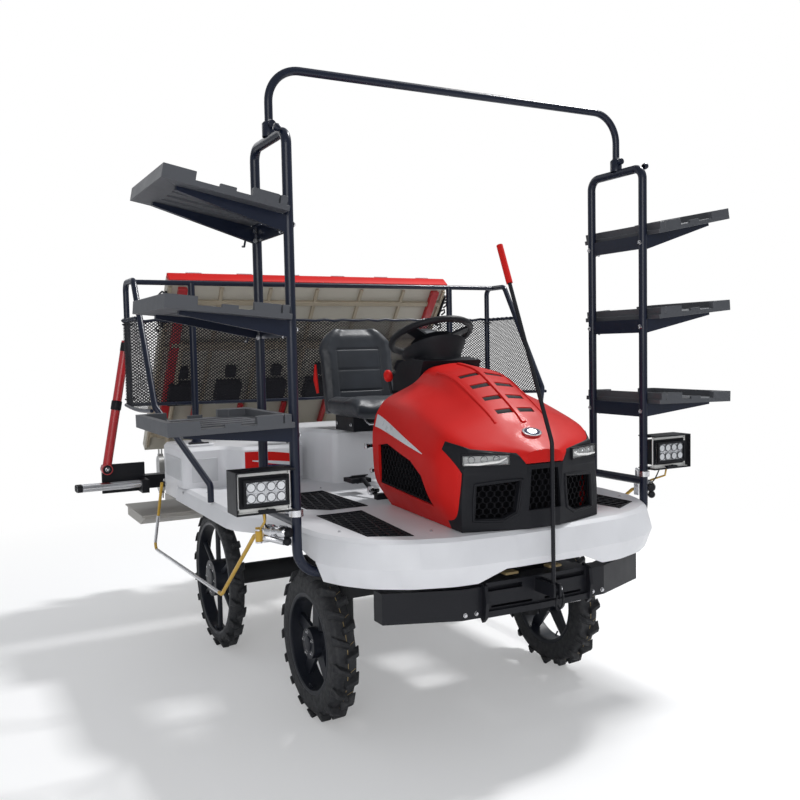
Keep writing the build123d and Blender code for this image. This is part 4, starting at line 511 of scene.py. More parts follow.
def cloth_pad(base):
    """Swells a closed form with simulated cloth and takes back the cloth."""
    base.select_set(True)
    modify(base, "even", "REMESH", True, mode="VOXEL", voxel_size=PAD_VOXEL)
    rest = [v.co.copy() for v in base.data.vertices]
    cloth = modify(base, "cloth", "CLOTH")
    cloth.settings.use_pressure = True
    cloth.settings.uniform_pressure_force = PAD_PRESSURE
    cloth.settings.effector_weights.gravity = 0
    cloth.settings.quality = 4
    cloth.collision_settings.use_collision = False
    for number in range(1, PAD_FRAMES):
        bpy.context.scene.frame_set(number)
    bpy.ops.object.modifier_apply(modifier=cloth.name)
    bpy.context.scene.frame_set(1)
    for v, start in zip(base.data.vertices, rest):
        step = v.co - start
        if step.length > PAD_SWELL:
            v.co = start + step.normalized() * PAD_SWELL
    base.select_set(False)


def press_seams(base, seams, facing):
    """Presses seams into the side that faces a direction; each seam is a distance function and a depth."""
    for v in base.data.vertices:
        normal = v.normal
        for distance, depth in seams:
            if normal.dot(facing) > 0.3:
                share = max(0.0, 1 - abs(distance(v.co)) / PAD_SWELL)
                v.co -= normal * depth * share * share


def pad_rings(half_width, thick, crown, start, end, steps, centre, along, out):
    """Rings of a seat pad: a rounded slab whose side bolsters stand towards the sitter.

    half_width, thick and crown are functions of the share of the way from start to end."""
    rings = []
    for step in range(steps + 1):
        share = step / steps
        place = Vector(centre) + along * (start + (end - start) * share)
        wide, deep = half_width(share), thick(share)
        ring = []
        for turn in circle(PAD_AROUND):
            cx, cy = math.cos(turn), math.sin(turn)
            x = wide * math.copysign(abs(cx) ** 0.6, cx)
            y = deep / 2 * math.copysign(abs(cy) ** 0.75, cy)
            edge = min(1.0, abs(x) / wide)
            if y > 0:
                y += BOLSTER * max(0.0, (edge - 0.5) / 0.5) ** 1.5 * (1 if edge < 0.9 else 0.8)
            ring.append(place + Vector((x, 0, 0)) + out * (y + crown(share)))
        rings.append(ring)
    return rings


def seat_pad(name, node, rings, seams, facing):
    """A padded vinyl cushion that stands for its CAD solid."""
    made = Builder().rings(rings).piece(name, "seat_vinyl", 180)
    made.parent = None
    cloth_pad(made)
    modify(made, "finer", "SUBSURF", True, levels=1, render_levels=1)
    press_seams(made, seams, facing)
    made.data.shade_smooth()
    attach(made, "chassis")
    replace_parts(made, node)


def seat():
    low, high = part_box("seat_back")
    base = Vector((0, low.y + 0.048, low.z + 0.01))
    up = Vector((0, math.sin(BACK_LEAN), math.cos(BACK_LEAN)))
    out = Vector((0, -math.cos(BACK_LEAN), math.sin(BACK_LEAN)))
    length = (high.z - low.z) / math.cos(BACK_LEAN) - 0.03
    wide = (high.x - low.x) / 2 - PAD_INSET

    def back_width(share):
        if share > 0.72:
            return wide * (0.96 - 0.42 * ((share - 0.72) / 0.28) ** 2.2)
        return wide * (0.9 + 0.06 * share)

    def back_thick(share):
        return 0.074 - 0.022 * share - (0.02 * max(0.0, (share - 0.9) / 0.1))

    def cross_seam(rise, place):
        return lambda point: rise(point) - place if abs(point.x) < SEAM_HALF else 1.0

    def up_back(point):
        return (point - base).dot(up)

    def side_seam(point):
        return abs(point.x) - SEAM_HALF if 0.02 < up_back(point) < SEAMS_UP[-1] + 0.004 else 1.0

    def back_crown(share):
        return 0.006 * math.sin(math.pi * share)

    rings = pad_rings(back_width, back_thick, back_crown, 0.0, length, BACK_STEPS, base, up, out)
    seams = [(cross_seam(up_back, height), SEAM_DEPTH) for height in SEAMS_UP]
    seat_pad("seat_back_pad", "seat_back", rings, [*seams, (side_seam, SEAM_DEPTH * 0.6)], out)

    low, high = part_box("seat_cushion")
    deep = high.y - low.y
    middle = Vector((0, low.y, (low.z + high.z) / 2 - 0.012))

    def cushion_width(share):
        return wide * (0.88 + 0.1 * math.sin(math.pi * min(1.0, share * 1.3) * 0.5))

    def cushion_thick(share):
        nose = min(1.0, share / 0.18)
        return 0.085 * (0.35 + 0.65 * math.sqrt(max(0.0, 1 - (1 - nose) ** 2)))

    def nose_drop(share):
        return -0.012 * (1 - min(1.0, share / 0.2))

    def edge_seam(point):
        return abs(point.x) - SEAM_HALF if point.y > low.y + deep * 0.25 else 1.0

    rings = pad_rings(cushion_width, cushion_thick, nose_drop, PAD_INSET, deep - PAD_INSET / 2, CUSHION_STEPS,
                      middle, FORWARD, UP)
    seams = [(cross_seam(lambda point: point.y, low.y + deep * share), SEAM_DEPTH) for share in (0.42, 0.72)]
    seat_pad("seat_cushion_pad", "seat_cushion", rings, [*seams, (edge_seam, SEAM_DEPTH * 0.6)], UP)


# ---------------------------------------------------------------- guard net
NET_MESH = (0.021, 0.016)       # width and height of one diamond
NET_STRAND = 0.42               # share of a diamond that its strands fill on each side
NET_GAP = 0.004                 # from the CAD net's outer face
NET_FRONT = (0.690, 0.960)      # Y of the side nets' front edge at its foot and at its top
NET_SAG = {"right": 0.006, "left": 0.006, "back": 0.008}
NET_DROOP = 0.012
DIAMOND = ((0, -1), (1, 0), (0, 1), (-1, 0))
HEM_STEPS = 40
HEM_TOP, HEM_FOOT = 0.008, 0.009    # radii of the hems
HEM_SLACK = 0.004               # of the laced top hem, to and fro
TIE_LOOP, TIE_CORD = 0.026, 0.004


def net_panel(name, corners):
    """A net between four corners: bottom start, bottom end, top end and top start."""
    c00, c10, c11, c01 = (Vector(c) for c in corners)
    wide = ((c10 - c00).length + (c11 - c01).length) / 2
    tall = ((c01 - c00).length + (c11 - c10).length) / 2
    columns, rows = max(4, round(wide / NET_MESH[0])), max(4, round(tall / NET_MESH[1]))
    out = (c10 - c00).cross(c01 - c00).normalized()

    def place(u, v):
        u, v = u / columns, v / rows
        ripple = math.sin(u * 9.1 + v * 2.3) * 0.5 + math.sin(u * 23.0 - v * 5.0) * 0.25
        droop = -NET_DROOP * math.sin(math.pi * u) * (1 - v)
        flat = c00.lerp(c10, u).lerp(c01.lerp(c11, u), v)
        return flat + out * (NET_SAG[name] * ripple * math.sin(math.pi * v)) + Vector((0, 0, droop))

    verts, faces, index = [], [], {}

    def node(u, v):
        key = (round(u * 2), round(v * 2))
        if key not in index:
            index[key] = len(verts)
            verts.append(place(u, v))
        return index[key]

    for row in range(rows * 2 - 1):
        for column in range(columns - (row % 2)):
            cu, cv = column + 0.5 + 0.5 * (row % 2), (row + 1) / 2
            outer = [node(cu, cv - 0.5), node(cu + 0.5, cv), node(cu, cv + 0.5), node(cu - 0.5, cv)]
            reach = 0.5 - NET_STRAND * 0.5 * (1 + 0.12 * math.sin(cu * 7.7 + cv * 3.1))
            inner = range(len(verts), len(verts) + 4)
            verts += [place(cu + du * reach, cv + dv * reach) for du, dv in DIAMOND]
            faces += [(outer[k], outer[(k + 1) % 4], inner[(k + 1) % 4], inner[k]) for k in range(4)]
    made = Builder().add(verts, faces).piece(f"net_{name}", "net_fabric", 180)
    hem = Builder()
    top, bottom = ([place(u * columns / HEM_STEPS, v) for u in range(HEM_STEPS + 1)] for v in (rows, 0))
    loose = [p + Vector((0, 0, HEM_SLACK * math.sin(i * 2.6))) + out * HEM_SLACK * math.cos(i * 2.6)
             for i, p in enumerate(top)]
    hem.tube(loose, HEM_TOP, 8)
    hem.tube(bottom, HEM_FOOT, 8)
    hemmed = hem.piece(f"net_hem_{name}", "navy_tube", 60)
    return made


def guard_net():
    low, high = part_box("guard_net")
    front_low, front_top = (at(0, y, 0).y for y in NET_FRONT)
    x, y = high.x - NET_GAP, high.y - NET_GAP
    for side, hand in SIDES:
        outline = ((front_low, low.z), (y, low.z), (y, high.z), (front_top, high.z))
        net_panel(side, [(hand * x, along, up) for along, up in outline])
    x_low = low.x + NET_GAP
    back = net_panel("back", ((x_low, y, low.z), (x, y, low.z), (x, y, high.z), (x_low, y, high.z)))
    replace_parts(back, "guard_net")
    ties = Builder()
    for hand in HANDS:
        for z in (low.z + 0.03, high.z - 0.02):
            loop = ring_route((hand * (x - 0.02), y - 0.02, z), TIE_LOOP, 12, (1, 0, 0), (0, 1, 0))
            ties.tube(loop, TIE_CORD, 6, True)
    ties.piece("net_ties", "net_fabric")


# ---------------------------------------------------------------- work lamps
LENS_W = 0.162
LED_ROWS = 2
LED_COLUMNS = 4
LAMP_RIM = 0.012                # depth of the rim, and how much wider it is than the lens
# profiles of a reflector's cup and of its ring: share of the cup's radius, distance along the axis
CUP = ((1, 0), (0.86, 0.0005), (0.5, 0.0062), (0.3, 0.007))
CUP_RING = ((0.98, 0.0006), (0.90, 0), (0.80, 0.001), (0.94, 0.0016), (0.98, 0.0006))


def scaled(radius, profile):
    """A lathe's profile whose radii are given as shares of one radius."""
    return [(radius * share, along) for share, along in profile]


def work_lamps():
    """Round reflectors with a diode each on a chrome plate, behind a clear cover in a black rim."""
    low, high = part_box("lamp_lenses")
    front, z_mid, tall = low.y, (low.z + high.z) / 2, high.z - low.z
    radius = min(LENS_W / (LED_COLUMNS + 0.6), tall / (LED_ROWS + 0.35)) / 2
    for side, hand in SIDES:
        plate, cups, rim = builders(3)
        x_mid = hand * (high.x - LENS_W / 2)
        plate.box((x_mid, front + 0.004, z_mid), (LENS_W, 0.007, tall))
        for number in range(LED_ROWS * LED_COLUMNS):
            row, column = divmod(number, LED_COLUMNS)
            x = x_mid + (column - (LED_COLUMNS - 1) / 2) * LENS_W / (LED_COLUMNS + 0.25)
            z = z_mid + (row - (LED_ROWS - 1) / 2) * tall / (LED_ROWS + 0.2)
            diode = ((0.0004, -0.0015), (radius * 0.22, 0), (radius * 0.28, 0.003))
            cups.mark = 0
            cups.lathe((x, front - 0.0035, z), FORWARD, scaled(radius, CUP), 20, True)
            cups.mark = 1
            cups.lathe((x, front - 0.001, z), FORWARD, diode, 14, True)
            cups.mark = 2
            cups.lathe((x, front - 0.0044, z), FORWARD, scaled(radius, CUP_RING), 20)
        plate.piece(f"lamp_plate_{side}", "chrome_steel", bevel=0.002)
        cups.piece(f"lamp_reflectors_{side}", ("headlamp_silver", "led_yellow", "grey_plastic"), 60)
        for end in (1, -1):
            rim.box((x_mid, front - 0.004, z_mid + end * tall / 2), (LENS_W + LAMP_RIM, LAMP_RIM, 0.01))
        for end in (1, -1):
            rim.box((x_mid + end * LENS_W / 2, front - 0.004, z_mid), (0.01, LAMP_RIM, tall))
        rim.piece(f"lamp_rim_{side}", "black_plastic", bevel=0.002)


# ---------------------------------------------------------------- tyres and rims
# each wheel: its lugs and their height, half widths of wall and tread and over the lugs, hub and bolts
WHEELS = {
    "front": {"lugs": 34, "lug": 0.027, "wall": 0.053, "tread": 0.037, "reach": 0.060, "hub": 0.065,
              "bolts": 5},
    "rear": {"lugs": 36, "lug": 0.027, "wall": 0.038, "tread": 0.022, "reach": 0.045, "hub": 0.095,
             "bolts": 8},
}
LUG_FOOT, LUG_TOP, LUG_SLANT, LUG_OVERLAP, LUG_SLOPE = 0.021, 0.009, 0.45, 0.008, 0.018
# hub cap: shares of the hub's radius, and distances along the axle
HUB_CAP = ((0.52, 0), (0.5, 0.007), (0.42, 0.0095), (0.2, 0.010))
HUB_CAP_TIP = (0.0003, 0.010)   # the last point of a hub cap, in metres
# bead flange: distances out from the rim and from the wheel's half width, a closed outline
FLANGE = ((-0.014, -0.006), (-0.012, 0.006), (-0.004, 0.010), (0.005, 0.008), (0.006, -0.002),
          (-0.014, -0.006))


def wheel_frame(node):
    """Centre and outer radius of a tyre or rim, from its CAD node."""
    low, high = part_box(node)
    return (low + high) / 2, (high.z - low.z) / 2


def tyre(end, side):
    """A round tyre with rounded lugs, in the place and form of its CAD solid."""
    node, body, shape = f"{end}_tyre_{side}", f"{end}_wheel_{side}", WHEELS[end]
    centre, radius = wheel_frame(node)
    rim = wheel_frame(f"{end}_rim_{side}")[1]
    tread = radius - shape["lug"]
    wall, flat, reach = shape["wall"], shape["tread"], shape["reach"]
    profile = [(rim, -wall + 0.010), (rim + 0.006, -wall + 0.004), (rim + 0.012, -wall + 0.002),
               ((rim + tread) / 2, -wall), (tread - 0.018, -wall + 0.003), (tread - 0.007, -flat - 0.008),
               (tread - 0.001, -flat), (tread + 0.001, -flat * 0.5), (tread + 0.002, 0)]
    profile += [(r, -x) for r, x in reversed(profile[:-1])]
    made = Builder().lathe(centre, (1, 0, 0), [*profile, profile[0]], 110)
    step = 2 * math.pi / shape["lugs"]
    for number in range(shape["lugs"]):
        hand = 1 if number % 2 else -1
        turn = Matrix.Rotation(step * number + math.pi, 3, "X")
        rings = []
        for end_x, half, height in ((reach, LUG_FOOT, tread - 0.012),
                                    (reach - LUG_SLOPE, LUG_TOP, radius - 0.0004)):
            inner, outer = ((x, LUG_SLANT * (x - reach / 2)) for x in (-LUG_OVERLAP, end_x))
            corners = [(inner, -half), (outer, -half), (outer, half), (inner, half)]
            rings.append([centre + turn @ Vector((hand * x, y + sign, height)) for (x, y), sign in corners])
        made.rings(rings)
    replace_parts(made.piece(f"tyre_{end}_{side}", "tyre", 40, bevel=0.004, body=body), node)
    if end == "front":
        mould_lines(f"mould_lines_{end}_{side}", centre, tread, flat, shape["lugs"], body)


def mould_lines(name, centre, tread, flat, lugs, body):
    """A thin line round the tread and short ones across it between lugs."""
    lines = Builder()
    lines.tube([centre + Vector((0.004, math.cos(t) * (tread + 0.0022), math.sin(t) * (tread + 0.0022)))
                for t in circle(90)], 0.0014, 5, True)
    for start in circle(lugs, 0.5)[::2]:
        slanted = [(x, start + x * 2.2) for x in (0.004, 0.014, 0.024, flat)]
        lines.tube([centre + Vector((x, math.sin(t) * (tread + 0.001), math.cos(t) * (tread + 0.001)))
                    for x, t in slanted], 0.0010, 4)
    lines.piece(name, "ochre_line", 60, body=body)


def rims():
    """Hub caps, bolts and bead flanges of the wheels."""
    for end, shape in WHEELS.items():
        hub, half = shape["hub"], shape["wall"] - 0.012
        for side, hand in SIDES:
            wheel, body = f"{end}_{side}", f"{end}_wheel_{side}"
            low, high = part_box(f"{end}_rim_{side}")
            centre, rim = wheel_frame(f"{end}_rim_{side}")
            mouth = Vector((low.x if hand < 0 else high.x, centre.y, centre.z))
            out = Vector((hand, 0, 0))
            across = out.orthogonal().normalized()
            over = out.cross(across)
            cap, heads, bead = builders(3)
            cap.lathe(mouth - out * 0.002, out, scaled(hub, HUB_CAP) + [HUB_CAP_TIP], 32)
            for t in circle(shape["bolts"]):
                heads.bolt(mouth + (across * math.cos(t) + over * math.sin(t)) * hub * 0.76, out, 0.0095)
            for facing in HANDS:
                bead.lathe(centre, (facing, 0, 0), [(rim + r, half + x) for r, x in FLANGE], 72)
            bead.tube([centre + Vector((hand * (half - 0.01), 0, -rim + 0.012)),
                       centre + Vector((hand * (half + 0.004), 0, -rim + 0.034))], 0.004, 8)
            cap.piece(f"hub_cap_{wheel}", "wheel_black", 40, body=body)
            heads.piece(f"hub_bolts_{wheel}", "chrome_steel", 40, body=body)
            bead.piece(f"rim_flanges_{wheel}", "wheel_black", 40, body=body)


# ---------------------------------------------------------------- bonnet
# half sections of the bonnet from the rear to the nose, as its solid has them: Y, then X and Z of each corner
BONNET_BASE = 0.887
BONNET = (
    (0.010, ((0.262, BONNET_BASE), (0.345, 1.010), (0.352, 1.215), (0.312, 1.362), (0.170, 1.435),
             (0.125, 1.508), (0.0, 1.528))),
    (-0.330, ((0.290, BONNET_BASE), (0.366, 1.000), (0.378, 1.205), (0.330, 1.338), (0.190, 1.398),
              (0.130, 1.468), (0.0, 1.490))),
    (-0.600, ((0.316, BONNET_BASE), (0.366, 0.990), (0.385, 1.160), (0.335, 1.252), (0.215, 1.288),
              (0.110, 1.318), (0.0, 1.322))),
    (-0.700, ((0.325, BONNET_BASE), (0.325, 1.000), (0.318, 1.105), (0.290, 1.192), (0.205, 1.215),
              (0.105, 1.236), (0.0, 1.242))),
    (-0.782, ((0.070, BONNET_BASE), (0.072, 0.960), (0.084, 1.110), (0.088, 1.160), (0.070, 1.178),
              (0.040, 1.184), (0.0, 1.186))),
)
BONNET_WALL = 0.012
# outlines of what is cut away: the open rear in Y and Z, the mask in X and Z, the side windows in Y and Z
REAR_OUTLINE = ((-0.020, 1.290), (-0.150, 1.530), (-0.150, 1.6), (0.2, 1.6), (0.2, 0.8), (-0.020, 0.8))
MASK_OUTLINE = ((0.334, 0.867), (0.326, 1.000), (0.316, 1.107), (0.374, 1.240), (0.280, 1.197),
                (0.118, 1.177), (0.084, 1.132))
MASK_REAR = -0.612
SIDE_PANEL = ((-0.075, 1.000), (-0.085, 1.165), (-0.180, 1.180), (-0.400, 1.130), (-0.480, 1.080),
              (-0.540, 0.965))
LOUVRES = 4
LOUVRE_ROWS, LOUVRE_OUTER = (-0.350, -0.590), (0.108, 0.090)    # of the first and the last louvre
LOUVRE_INNER, LOUVRE_SLOT = 0.014, 0.026
SKIN_ACROSS, SKIN_ALONG = 72, 44    # steps of the smooth skin over the bonnet and along it


def between(pair, share):
    return pair[0] + (pair[1] - pair[0]) * share


def soft_curve(points, steps):
    """Points along a row of corners whose corners are cut round, evenly shared out."""
    dense = [first.lerp(second, k / 12) for first, second in zip(points, points[1:]) for k in range(12)]
    dense.append(points[-1])
    for _ in range(10):
        inner = [dense[i] * 0.5 + (dense[i - 1] + dense[i + 1]) * 0.25 for i in range(1, len(dense) - 1)]
        dense = [dense[0], *inner, dense[-1]]
    return [dense[round(k * (len(dense) - 1) / steps)] for k in range(steps + 1)]


def bonnet_skin():
    """The bonnet's smooth outer skin as rows of points from one base edge over to the other."""
    rows = []
    for y, half in BONNET:
        corners = [at(x, y, z) for x, z in half] + [at(-x, y, z) for x, z in reversed(half[:-1])]
        rows.append(soft_curve(corners, SKIN_ACROSS))
    columns = [soft_curve(column, SKIN_ALONG) for column in zip(*rows)]
    return list(zip(*columns))


def louvre_rows():
    """The place along Y and the outer end of each louvre."""
    for number in range(LOUVRES):
        share = number / (LOUVRES - 1)
        yield between(LOUVRE_ROWS, share), between(LOUVRE_OUTER, share)


def cut_away(target, builder):
    """Cuts a solid from a piece and removes it."""
    tool = builder.piece("cutter", "black_plastic")
    tool.parent = None
    modify(target, "cut", "BOOLEAN", True, operation="DIFFERENCE", solver="EXACT", object=tool)
    bpy.data.objects.remove(tool, do_unlink=True)


def bonnet():
    """The smooth shell with its open rear, mask, louvres and side windows."""
    made = Builder().rings(bonnet_skin(), closed_ring=False).piece("bonnet_skin", "red_plastic", 60)
    made.parent = None
    modify(made, "wall", "SOLIDIFY", True, thickness=BONNET_WALL, offset=-1.0)
    cut_away(made, Builder().prism([at(-0.5, y, z) for y, z in REAR_OUTLINE], (1.0, 0, 0)))
    half = [at(x, MASK_REAR, z) for x, z in MASK_OUTLINE]
    other = [at(-x, MASK_REAR, z) for x, z in reversed(MASK_OUTLINE)]
    cut_away(made, Builder().prism(half + other, (0, -0.3, 0)))
    slots = Builder()
    for y, reach in louvre_rows():
        for hand in HANDS:
            middle = at(hand * (LOUVRE_INNER + reach) / 2, y, 1.40)
            slots.box(middle, (reach - LOUVRE_INNER, LOUVRE_SLOT, 0.4))
    cut_away(made, slots)
    for hand in HANDS:
        cut_away(made, Builder().prism([at(hand * 0.25, y, z) for y, z in SIDE_PANEL], (hand * 0.25, 0, 0)))
    modify(made, "rounded", "BEVEL", width=0.0022, segments=2, limit_method="ANGLE",
           angle_limit=math.radians(50))
    smooth_by_angle(made.data, 40)
    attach(made, "chassis")
    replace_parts(made, "bonnet_shell")
    return made


# ---------------------------------------------------------------- laying thin pieces on a surface
def touch(node, start, direction):
    """Where a ray from start first meets a piece."""
    inverse = node.matrix_world.inverted()
    hit, place, _, _ = node.ray_cast(inverse @ Vector(start), inverse.to_3x3() @ Vector(direction))
    return node.matrix_world @ place if hit else None


def drape(builder, node, place, counts, direction, sink=0.002, rise=0.003):
    """Lays a thin closed sheet on a piece; place(share, edge) is where each of its points drops from."""
    columns, across = counts
    direction = Vector(direction)
    rings = []
    for k in range(columns + 1):
        first, last = place(k / columns, 0), place(k / columns, 1)
        hits = [touch(node, first.lerp(last, n / across), direction) for n in range(across + 1)]
        if None not in hits:
            top = [p - direction * rise for p in reversed(hits)]
            rings.append([p + direction * sink for p in hits] + top)
    if len(rings) > 1:
        builder.rings(rings)


# ---------------------------------------------------------------- bonnet trim and headlamps
SWOOSH_Y, SWOOSH_Z, SWOOSH_W = (-0.040, -0.500), (1.268, 1.168), 0.050
RIB_Y, RIB_HALF = (-0.175, -0.655), 0.011
CREASE_X, CREASE_Y, CREASE_W = (0.128, 0.120), (-0.215, -0.640), 0.010
BADGE = (0.0, -0.700)
BADGE_HALF = (0.043, 0.030)
BADGE_FACING = Vector((0, -0.50, 0.866)).normalized()
# layers of the badge: mark, share of its size, and lift of its foot and its top
BADGE_LAYERS = ((0, 1.0, -0.010, 0.006), (1, 0.80, 0.004, 0.0072), (0, 0.52, 0.006, 0.0080))
NOSE_LOW = 1.128
GRILLE_SIDE = ((0.108, 1.072), (0.124, 0.955), (0.170, 0.932), (0.276, 0.934), (0.268, 1.058))
GRILLE_MIDDLE = (0.195, 0.998)
GRILLE_RIM = 0.009
ABOVE = 2.0                     # height, or distance to the side, from which pieces are laid on


def on_skin(skin, x, y):
    """The place on the bonnet's upper skin at x and y."""
    y = at(0, y, 0).y
    after = next(k for k in range(1, len(skin)) if skin[k][SKIN_ACROSS // 2].y <= y)
    places = []
    for row in (skin[after - 1], skin[after]):
        upper = sorted(row[SKIN_ACROSS // 6:SKIN_ACROSS * 5 // 6 + 1], key=lambda point: point.x)
        k = next(i for i in range(1, len(upper)) if upper[i].x >= x)
        share = (x - upper[k - 1].x) / max(upper[k].x - upper[k - 1].x, 1e-9)
        places.append(upper[k - 1].lerp(upper[k], share))
    share = (places[0].y - y) / max(places[0].y - places[1].y, 1e-9)
    return places[0].lerp(places[1], share)


def bay_grilles_and_shade():
    """Dark louvred sheets inside the bonnet behind its side panels and its mask: the slats are grilles, and
    the plain black sheets behind them and at the bay's rear are painted shade inside the bay.
    """
    screens = Builder()
    for hand in HANDS:
        # plain black backing behind the side slats: painted shade inside the bay
        screens.box(at(hand * 0.300, -0.300, 1.083), (0.004, 0.530, 0.240))
        # plain black sheet closing the bay's rear: painted shade
        screens.box(at(hand * 0.237, -0.035, 1.090), (0.176, 0.004, 0.190))
        for k in range(8):
            slat = at(hand * 0.305, -0.315, 0.975 + 0.028 * k)
            screens.box(slat, (0.010, 0.480, 0.004), tilt("Y", hand * 35))
    # plain black backing behind the mask's slats: painted shade
    screens.box(at(0, -0.618, 1.020), (0.60, 0.004, 0.24))
    for k in range(16):
        screens.box(at(-0.27 + 0.036 * k, -0.624, 1.020), (0.004, 0.010, 0.23), tilt("Z", 35))
    screens.piece("bay_grilles_and_shade", "black_mesh")


def mask_frames():
    """Raised frames round the mask's grilles."""
    frames = Builder()
    corners = [Vector((x, 0, z)) for x, z in GRILLE_SIDE]
    middle = Vector((GRILLE_MIDDLE[0], 0, GRILLE_MIDDLE[1]))
    spots = [corner.lerp(following, k / 8) for corner, following in zip(corners, corners[1:] + corners[:1])
             for k in range(8)]
    for hand in HANDS:
        outer = [spot + (spot - middle).normalized() * GRILLE_RIM for spot in spots]
        hits = [touch(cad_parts["bonnet_mask"], at(hand * p.x, -1.2, p.z), FORWARD) for p in outer]
        frames.tube([hit for hit in hits if hit is not None], 0.0055, 8, True)
    frames.piece("grille_frames", "black_plastic", 60)


def bonnet_ribs(shell):
    """The middle rib and the edges of the recess beside it."""
    ribs = Builder()
    drape(ribs, shell, lambda s, edge: at(RIB_HALF * (2 * edge - 1), between(RIB_Y, s), ABOVE), (30, 2), DOWN,
          0.004, 0.007)
    for hand in HANDS:
        def crease(s, edge):
            return at(hand * (between(CREASE_X, s) + CREASE_W * edge), between(CREASE_Y, s), ABOVE)
        drape(ribs, shell, crease, (30, 2), DOWN, 0.004, 0.005)
    ribs.piece("bonnet_ribs", "red_plastic", 50, bevel=0.0025, segments=3)


def louvre_painted_shade(skin):
    """Black sheets just below the skin in the louvres: painted shade of the bay seen through the slots."""
    inserts = Builder()
    for y, reach in louvre_rows():
        for hand in HANDS:
            rings = []
            for k in range(9):
                x = hand * (LOUVRE_INNER - 0.002 + (reach - LOUVRE_INNER + 0.004) * k / 8)
                edge = [on_skin(skin, x, y + side * (LOUVRE_SLOT / 2 + 0.002)) for side in HANDS]
                rings.append([p + DOWN * 0.004 for p in edge] + [p + DOWN * 0.008 for p in reversed(edge)])
            inserts.rings(rings)
    # black sheets in the louvres: painted shade
    inserts.piece("louvre_painted_shade", "black_mesh", 60)


def bonnet_trim(shell):
    """Ribs, louvres, the closed nose, a bare oval plate and the silver swooshes."""
    bpy.context.view_layer.update()
    bonnet_ribs(shell)
    skin = bonnet_skin()
    louvre_painted_shade(skin)
    nose, plate, swoosh = builders(3)
    nose.prism([Vector((p.x, p.y - 0.001, p.z)) for p in skin[-1] if p.z > NOSE_LOW], (0, 0.022, 0))
    nose.piece("bonnet_nose", "red_plastic", 40, bevel=0.004, segments=3)
    spot = touch(shell, at(*BADGE, ABOVE), DOWN)
    across = Vector((1, 0, 0)) * BADGE_HALF[0]
    up = BADGE_FACING.cross(Vector((1, 0, 0))) * -BADGE_HALF[1]
    for mark, share, foot, top in BADGE_LAYERS:
        plate.mark = mark
        plate.rings([ring_route(spot + BADGE_FACING * lift, size, 40, across, up)
                     for lift, size in ((foot, share), (top - 0.001, share), (top, share * 0.95))])
    plate.piece("nose_plate", ("chrome_steel", "plate_blue"), 40)
    for hand in HANDS:
        def line(s, edge):
            z = SWOOSH_Z[0] + (SWOOSH_Z[1] - SWOOSH_Z[0]) * s ** 1.2
            return at(hand, between(SWOOSH_Y, s), z + (edge - 0.5) * (SWOOSH_W * (1 - s) ** 0.8 + 0.002))
        drape(swoosh, shell, line, (28, 4), (-hand, 0, 0), 0.003, 0.0016)
    swoosh.piece("bonnet_swooshes", "silver_trim", 50)


HEADLAMP_PLACE, HEADLAMP_TURN, HEADLAMP_WIDE = (0.226, -0.712, 1.154), 21.0, 0.176
# the light strip: along, out and up from the headlamp's middle
HEADLAMP_STRIP = ((-0.080, 0.0195, 0.008), (-0.05, 0.020, -0.006), (0.03, 0.020, -0.013),
                  (0.084, 0.0195, -0.012))


def headlamps():
    """Bowl, projectors and light strip behind each headlamp's cover, and its black brow."""
    for side, hand in SIDES:
        turn = tilt("Z", hand * HEADLAMP_TURN)
        middle = route(hand, HEADLAMP_PLACE)[0]

        def place(along, out, up):
            return middle + turn @ Vector((along * hand, -out, up))
        bowl, cups, strip, brow = builders(4)
        bowl.box(place(0, -0.004, 0), (HEADLAMP_WIDE, 0.026, 0.036), turn)
        bowl.piece(f"headlamp_bowl_{side}", "lamp_white", bevel=0.006, segments=3)
        for k in range(3):
            for cups.mark, kind in enumerate(("projector", "projector_lens")):
                cups.turned(kind, place(0.055 - 0.048 * k, 0.009, 0.003), turn @ BACK)
        cups.piece(f"headlamp_projectors_{side}", ("headlamp_silver", "lamp_white"), 50)
        strip.tube([place(*spot) for spot in HEADLAMP_STRIP], 0.0055, 10, taper=(0.5, 1.0, 1.0, 0.6))
        strip.piece(f"headlamp_strip_{side}", "lamp_white", 60)
        for along, up, wide, tall in ((0, 0.0215, HEADLAMP_WIDE + 0.012, 0.005),
                                      (0, -0.0215, HEADLAMP_WIDE + 0.012, 0.005),
                                      (-0.0925, 0, 0.004, 0.044), (0.0925, 0, 0.004, 0.044)):
            brow.box(place(along, 0.012, up), (wide, 0.022, tall), turn)
        brow.piece(f"headlamp_brow_{side}", "black_plastic", bevel=0.0015)


# ---------------------------------------------------------------- deck and rear body
DECK_SCREWS = ((0.40, -0.60), (0.70, -0.42), (0.71, 0.05), (0.86, 0.30), (0.86, 0.80), (0.34, 0.60),
               (0.64, 0.58))
GRATES = (
    ((0.440, -0.075), (0.645, -0.075), (0.645, -0.555), (0.500, -0.640)),
    ((0.370, 0.515), (0.620, 0.515), (0.620, 0.095), (0.540, 0.020), (0.365, 0.020)),
)
TREAD_RIBS = 8
BODY_TOP = 1.090
BODY_SIDE = 0.930
# red ground, white swoosh and dark swoosh: rise, outer and inner end, heights of the lower and upper edges
COLOUR_PANELS = (
    (0.0012, (0.648, 0.362), (lambda s: 0.905, lambda s: 1.066 - 0.030 * s ** 2)),
    (0.0022, (0.610, 0.366), (lambda s: 1.016 - 0.042 * s, lambda s: 1.021 - 0.014 * s - 0.012 * s * s)),
    (0.0032, (0.540, 0.366), (lambda s: 0.990 - 0.070 * s, lambda s: 0.994 - 0.018 * s ** 2)),
)
INSET_X, INSET_Z = (0.755, 0.890), (0.915, 1.035)   # the inset panel on the front
FLANK_Y, FLANK_Z = (1.020, 1.340), (0.920, 1.035)   # and the one on the flank
BODY_FRONT = 0.5                # Y before the rear body, from which its front panels are laid on


